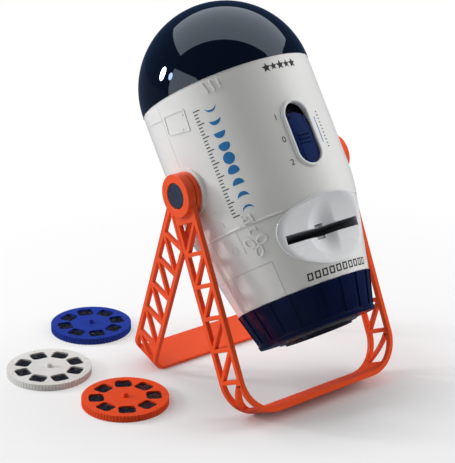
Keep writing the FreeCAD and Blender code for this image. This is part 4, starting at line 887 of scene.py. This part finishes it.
# The rim's size is its node's, and its section has a foot inside the casing and a lap outside.
RIM = own_frame("switch_rim")
RIM_TOP, RIM_BOTTOM = max(s for _, _, s in RIM), min(s for _, _, s in RIM)
RIM_HALF_WIDTH = max(x for x, _, _ in RIM)
RIM_PROUD = max(radius for _, radius, _ in RIM) - BODY_RADIUS
RIM_WIDTH = 2.4
RIM_SHOULDER = 0.45
RIM_FOOT, RIM_FOOT_WIDTH = 3.0, 1.0
RIM_LAP, RIM_LAP_OUT = 0.4, 0.1
RIM_SHARP = math.radians(50)


def stadium_spot(share):
    """A point of the rim's middle line and the direction straight out from it."""
    radius = RIM_HALF_WIDTH - RIM_WIDTH / 2
    straight = RIM_TOP - RIM_BOTTOM - 2 * RIM_HALF_WIDTH
    half = straight / 2
    run = share * (2 * straight + 2 * math.pi * radius)
    if run < straight:
        return Vector((radius, run - half)), Vector((1, 0))
    run -= straight
    if run < math.pi * radius:
        out = Vector((math.cos(run / radius), math.sin(run / radius)))
        return Vector((0, half)) + out * radius, out
    run -= math.pi * radius
    if run < straight:
        return Vector((-radius, half - run)), Vector((-1, 0))
    run -= straight
    out = Vector((-math.cos(run / radius), -math.sin(run / radius)))
    return Vector((0, -half)) + out * radius, out


def rim_section():
    """The rim's outline across its width, as (across, lift) pairs: foot, rolled top and lap."""
    half, steps = RIM_WIDTH / 2, 8
    section = [(-half, -RIM_FOOT), (-half, RIM_PROUD * RIM_SHOULDER)]
    for step in range(1, steps):
        angle = math.pi - math.pi * step / steps
        rise = RIM_SHOULDER + (1 - RIM_SHOULDER) * math.sin(angle)
        section.append((math.cos(angle) * half, RIM_PROUD * rise))
    section.append((half, RIM_PROUD * RIM_SHOULDER))
    return section + [(half + RIM_LAP_OUT, -RIM_LAP), (RIM_FOOT_WIDTH - half, -RIM_FOOT)]


def rolled_rim():
    """The switch opening's rim with a rolled top, and its wall down inside the casing."""
    section = rim_section()
    count = 120
    work = bmesh.new()
    loops = []
    for index in range(count):
        spot, out = stadium_spot(index / count)
        loop = []
        for across, lift in section:
            x, y = spot + out * across
            s = (RIM_TOP + RIM_BOTTOM) / 2 + y
            radius = casing_radius(s) + lift
            loop.append(work.verts.new(own_point(x, math.sqrt(radius ** 2 - x ** 2), s)))
        loops.append(loop)
    for index, loop in enumerate(loops):
        after = loops[(index + 1) % count]
        for spot in range(len(section)):
            beside = (spot + 1) % len(section)
            work.faces.new((loop[spot], loop[beside], after[beside], after[spot]))
    rim = mesh_object("rolled_rim", work)
    smoothed(rim, PLATE_WHITE, RIM_SHARP)
    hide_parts("switch_rim")
    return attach(rim, "projector")


# ---- Stage, light and camera, in metres -------------------------------------------------------

FLOOR_CENTRE = Vector((0.02, 0.05, 0))
FLOOR_HALF = 4.0
FLOOR_DROP = 0.0001
FLOOR_PALE = (0.76, 0.765, 0.775, 1)
FLOOR_FADE = {0.07: 0.0, 0.17: 0.50, 0.24: 0.60, 0.42: 1.0}
FLOOR_GLOSS, FLOOR_GLOSS_STRENGTH = (0.45, 0.62, 1, 1), 0.10
ROOM_LIGHT, ROOM_STRENGTH = (1, 0.99, 0.92, 1), 0.15
ROOM_GLOSS, ROOM_GLOSS_STRENGTH = (0.30, 0.52, 1, 1), 0.08
WHITE = (1, 1, 1, 1)


def node_of(tree, kind, **values):
    """A new node with its sockets set by name."""
    made = tree.nodes.new(kind)
    for socket, value in values.items():
        made.inputs[socket.replace("_", " ")].default_value = value
    return made


def floor_fade(tree):
    """How white the floor looks, by the distance in metres from the object."""
    place = tree.nodes.new("ShaderNodeNewGeometry")
    reach = node_of(tree, "ShaderNodeVectorMath")
    reach.operation = "DISTANCE"
    reach.inputs[1].default_value = FLOOR_CENTRE
    fade = tree.nodes.new("ShaderNodeValToRGB")
    ramp = fade.color_ramp
    ramp.interpolation = "EASE"
    (first, first_share), *between, (last, last_share) = FLOOR_FADE.items()
    ramp.elements[0].position = first
    ramp.elements[0].color = (first_share, first_share, first_share, 1)
    ramp.elements[1].position = last
    ramp.elements[1].color = (last_share, last_share, last_share, 1)
    for position, share in between:
        ramp.elements.new(position).color = (share, share, share, 1)
    tree.links.new(place.outputs["Position"], reach.inputs[0])
    tree.links.new(reach.outputs["Value"], fade.inputs["Fac"])
    return fade.outputs["Color"]


def floor_material():
    """Pale to light, fading to white for the camera alone, and a dim blue for gloss."""
    material = bpy.data.materials.new("floor_pale")
    material.use_nodes = True
    tree = material.node_tree
    tree.nodes.clear()
    seen = tree.nodes.new("ShaderNodeLightPath")
    fading = tree.nodes.new("ShaderNodeMath")
    fading.operation = "MULTIPLY"
    pale = node_of(tree, "ShaderNodeBsdfDiffuse", Color=FLOOR_PALE)
    white = node_of(tree, "ShaderNodeEmission", Color=WHITE, Strength=1.0)
    dim = node_of(tree, "ShaderNodeEmission", Color=FLOOR_GLOSS, Strength=FLOOR_GLOSS_STRENGTH)
    mix = tree.nodes.new("ShaderNodeMixShader")
    gloss = tree.nodes.new("ShaderNodeMixShader")
    out = tree.nodes.new("ShaderNodeOutputMaterial")
    tree.links.new(floor_fade(tree), fading.inputs[0])
    tree.links.new(seen.outputs["Is Camera Ray"], fading.inputs[1])
    tree.links.new(fading.outputs["Value"], mix.inputs["Fac"])
    tree.links.new(pale.outputs["BSDF"], mix.inputs[1])
    tree.links.new(white.outputs["Emission"], mix.inputs[2])
    tree.links.new(seen.outputs["Is Glossy Ray"], gloss.inputs["Fac"])
    tree.links.new(mix.outputs["Shader"], gloss.inputs[1])
    tree.links.new(dim.outputs["Emission"], gloss.inputs[2])
    tree.links.new(gloss.outputs["Shader"], out.inputs["Surface"])
    return material


def floor():
    """A pale floor that fades to white away from the object."""
    mesh = bpy.data.meshes.new("floor")
    corners = [(-FLOOR_HALF, -FLOOR_HALF), (FLOOR_HALF, -FLOOR_HALF),
               (FLOOR_HALF, FLOOR_HALF), (-FLOOR_HALF, FLOOR_HALF)]
    mesh.from_pydata([(x, y, -FLOOR_DROP) for x, y in corners], [], [(0, 1, 2, 3)])
    mesh.materials.append(floor_material())
    plane = bpy.data.objects.new("floor", mesh)
    scene.collection.objects.link(plane)


def backdrop():
    """White where the camera sees it, a soft warm room for light, and a dim room for gloss."""
    world = bpy.data.worlds.new("room")
    scene.world = world
    world.use_nodes = True
    tree = world.node_tree
    tree.nodes.clear()
    paths = tree.nodes.new("ShaderNodeLightPath")
    white = node_of(tree, "ShaderNodeBackground", Color=WHITE, Strength=1.0)
    room = node_of(tree, "ShaderNodeBackground", Color=ROOM_LIGHT, Strength=ROOM_STRENGTH)
    dim = node_of(tree, "ShaderNodeBackground", Color=ROOM_GLOSS, Strength=ROOM_GLOSS_STRENGTH)
    gloss = tree.nodes.new("ShaderNodeMixShader")
    seen = tree.nodes.new("ShaderNodeMixShader")
    out = tree.nodes.new("ShaderNodeOutputWorld")
    tree.links.new(paths.outputs["Is Glossy Ray"], gloss.inputs["Fac"])
    tree.links.new(room.outputs["Background"], gloss.inputs[1])
    tree.links.new(dim.outputs["Background"], gloss.inputs[2])
    tree.links.new(paths.outputs["Is Camera Ray"], seen.inputs["Fac"])
    tree.links.new(gloss.outputs["Shader"], seen.inputs[1])
    tree.links.new(white.outputs["Background"], seen.inputs[2])
    tree.links.new(seen.outputs["Shader"], out.inputs["Surface"])


LAMP_DISTANCE = 1.5


def panel(name, centre, across, up, radiance, shape="RECTANGLE", colour=(1, 1, 1)):
    """A flat soft light that no camera sees. across and up are its edges as vectors, in metres."""
    light = bpy.data.lights.new(name, "AREA")
    light.shape = shape
    light.color = colour
    light.size = across.length
    light.size_y = up.length
    light.energy = radiance * math.pi * across.length * up.length
    lamp = bpy.data.objects.new(name, light)
    x_axis, y_axis = across.normalized(), up.normalized()
    z_axis = x_axis.cross(y_axis)
    turn = Matrix((x_axis, y_axis, z_axis)).transposed().to_4x4()
    lamp.matrix_world = Matrix.Translation(centre) @ turn
    lamp.visible_camera = False
    scene.collection.objects.link(lamp)
    return lamp


def facing(name, target, direction, width, height, radiance, **look):
    """A soft light that looks at a target from a direction."""
    away = Vector(direction).normalized()
    across = Vector((0, 0, 1)).cross(away).normalized() * width
    up = away.cross(across).normalized() * height
    return panel(name, target + away * LAMP_DISTANCE, across, up, radiance, **look)


SOFTBOX_HEIGHT = 0.9
SOFTBOX_ALONG = Vector((0.756, -0.655, 0))
SOFTBOX_BACK = Vector((0.655, 0.756, 0))
SOFTBOX_CORNER = Vector((-1.09, 0.71, 1))
SOFTBOX_SPREAD = (2.9, 1.8)


def overhead_softbox(target):
    """The large light over the dome. Its corner, length and width are shares of its height."""
    width, depth = (share * SOFTBOX_HEIGHT for share in SOFTBOX_SPREAD)
    corner = target + SOFTBOX_CORNER * SOFTBOX_HEIGHT
    centre = corner + SOFTBOX_ALONG * (width / 2) + SOFTBOX_BACK * (depth / 2)
    panel("overhead_softbox", centre, SOFTBOX_ALONG * width, SOFTBOX_BACK * depth, radiance=0.85)


def lights():
    """Lamps that shine in the dome's gloss, and two fills that gloss doesn't show."""
    target = own_point(0, 0, RIM_HEIGHT)
    overhead_softbox(target)
    facing("left_strobe", target, direction=(-0.70, 0.68, 0.21),
           width=0.20, height=0.34, radiance=50.0, shape="ELLIPSE")
    facing("left_spill", target, direction=(-0.84, 0.48, 0.26),
           width=0.15, height=0.20, radiance=8.0, shape="ELLIPSE", colour=(0.6, 0.75, 1.0))
    facing("left_softbox", target, direction=(-0.95, 0.14, 0.18),
           width=1.05, height=0.80, radiance=0.8)
    right_fill = facing("right_fill", target, direction=(0.87, -0.40, 0.28),
                        width=0.9, height=1.1, radiance=5.9)
    left_fill = facing("left_fill", target, direction=(-0.45, 0.65, 0.61),
                       width=1.0, height=1.0, radiance=2.8)
    for fill in (right_fill, left_fill):
        fill.visible_glossy = False


CAMERA_PLACE = Vector((-0.73271, -0.80403, 0.54141))
CAMERA_YAW = math.radians(39.223)
CAMERA_PITCH = math.radians(20.877)
CAMERA_ROLL = math.radians(0.345)
CAMERA_LENS = 128.37
CAMERA_REACH = 20
CAMERA_SENSOR = 36.0


def camera():
    """The camera fitted to the photograph."""
    look = Vector((math.sin(CAMERA_YAW) * math.cos(CAMERA_PITCH),
                   math.cos(CAMERA_YAW) * math.cos(CAMERA_PITCH), -math.sin(CAMERA_PITCH)))
    right = Vector((math.cos(CAMERA_YAW), -math.sin(CAMERA_YAW), 0))
    up = right.cross(look)
    turn = Matrix((right, up, -look)).transposed() @ Matrix.Rotation(CAMERA_ROLL, 3, "Z")
    data = bpy.data.cameras.new("camera")
    data.lens = CAMERA_LENS
    data.sensor_width = CAMERA_SENSOR
    data.clip_end = CAMERA_REACH
    eye = bpy.data.objects.new("camera", data)
    eye.matrix_world = Matrix.Translation(CAMERA_PLACE) @ turn.to_4x4()
    scene.collection.objects.link(eye)
    scene.camera = eye


# ---- Build -----------------------------------------------------------------------------------

dress_nodes()
for node, width in SOFTENED.items():
    soften(node, width)
slot_plate()
rolled_rim()
for add_form in (rail_bars, hatch_frame, side_rail, link_rings, rail_cluster,
                 seam_beads, hub_marks):
    add_form()
for add_print in (moon_row, tick_row, star_row, window_row, switch_marks):
    add_print()
floor()
backdrop()
lights()
camera()
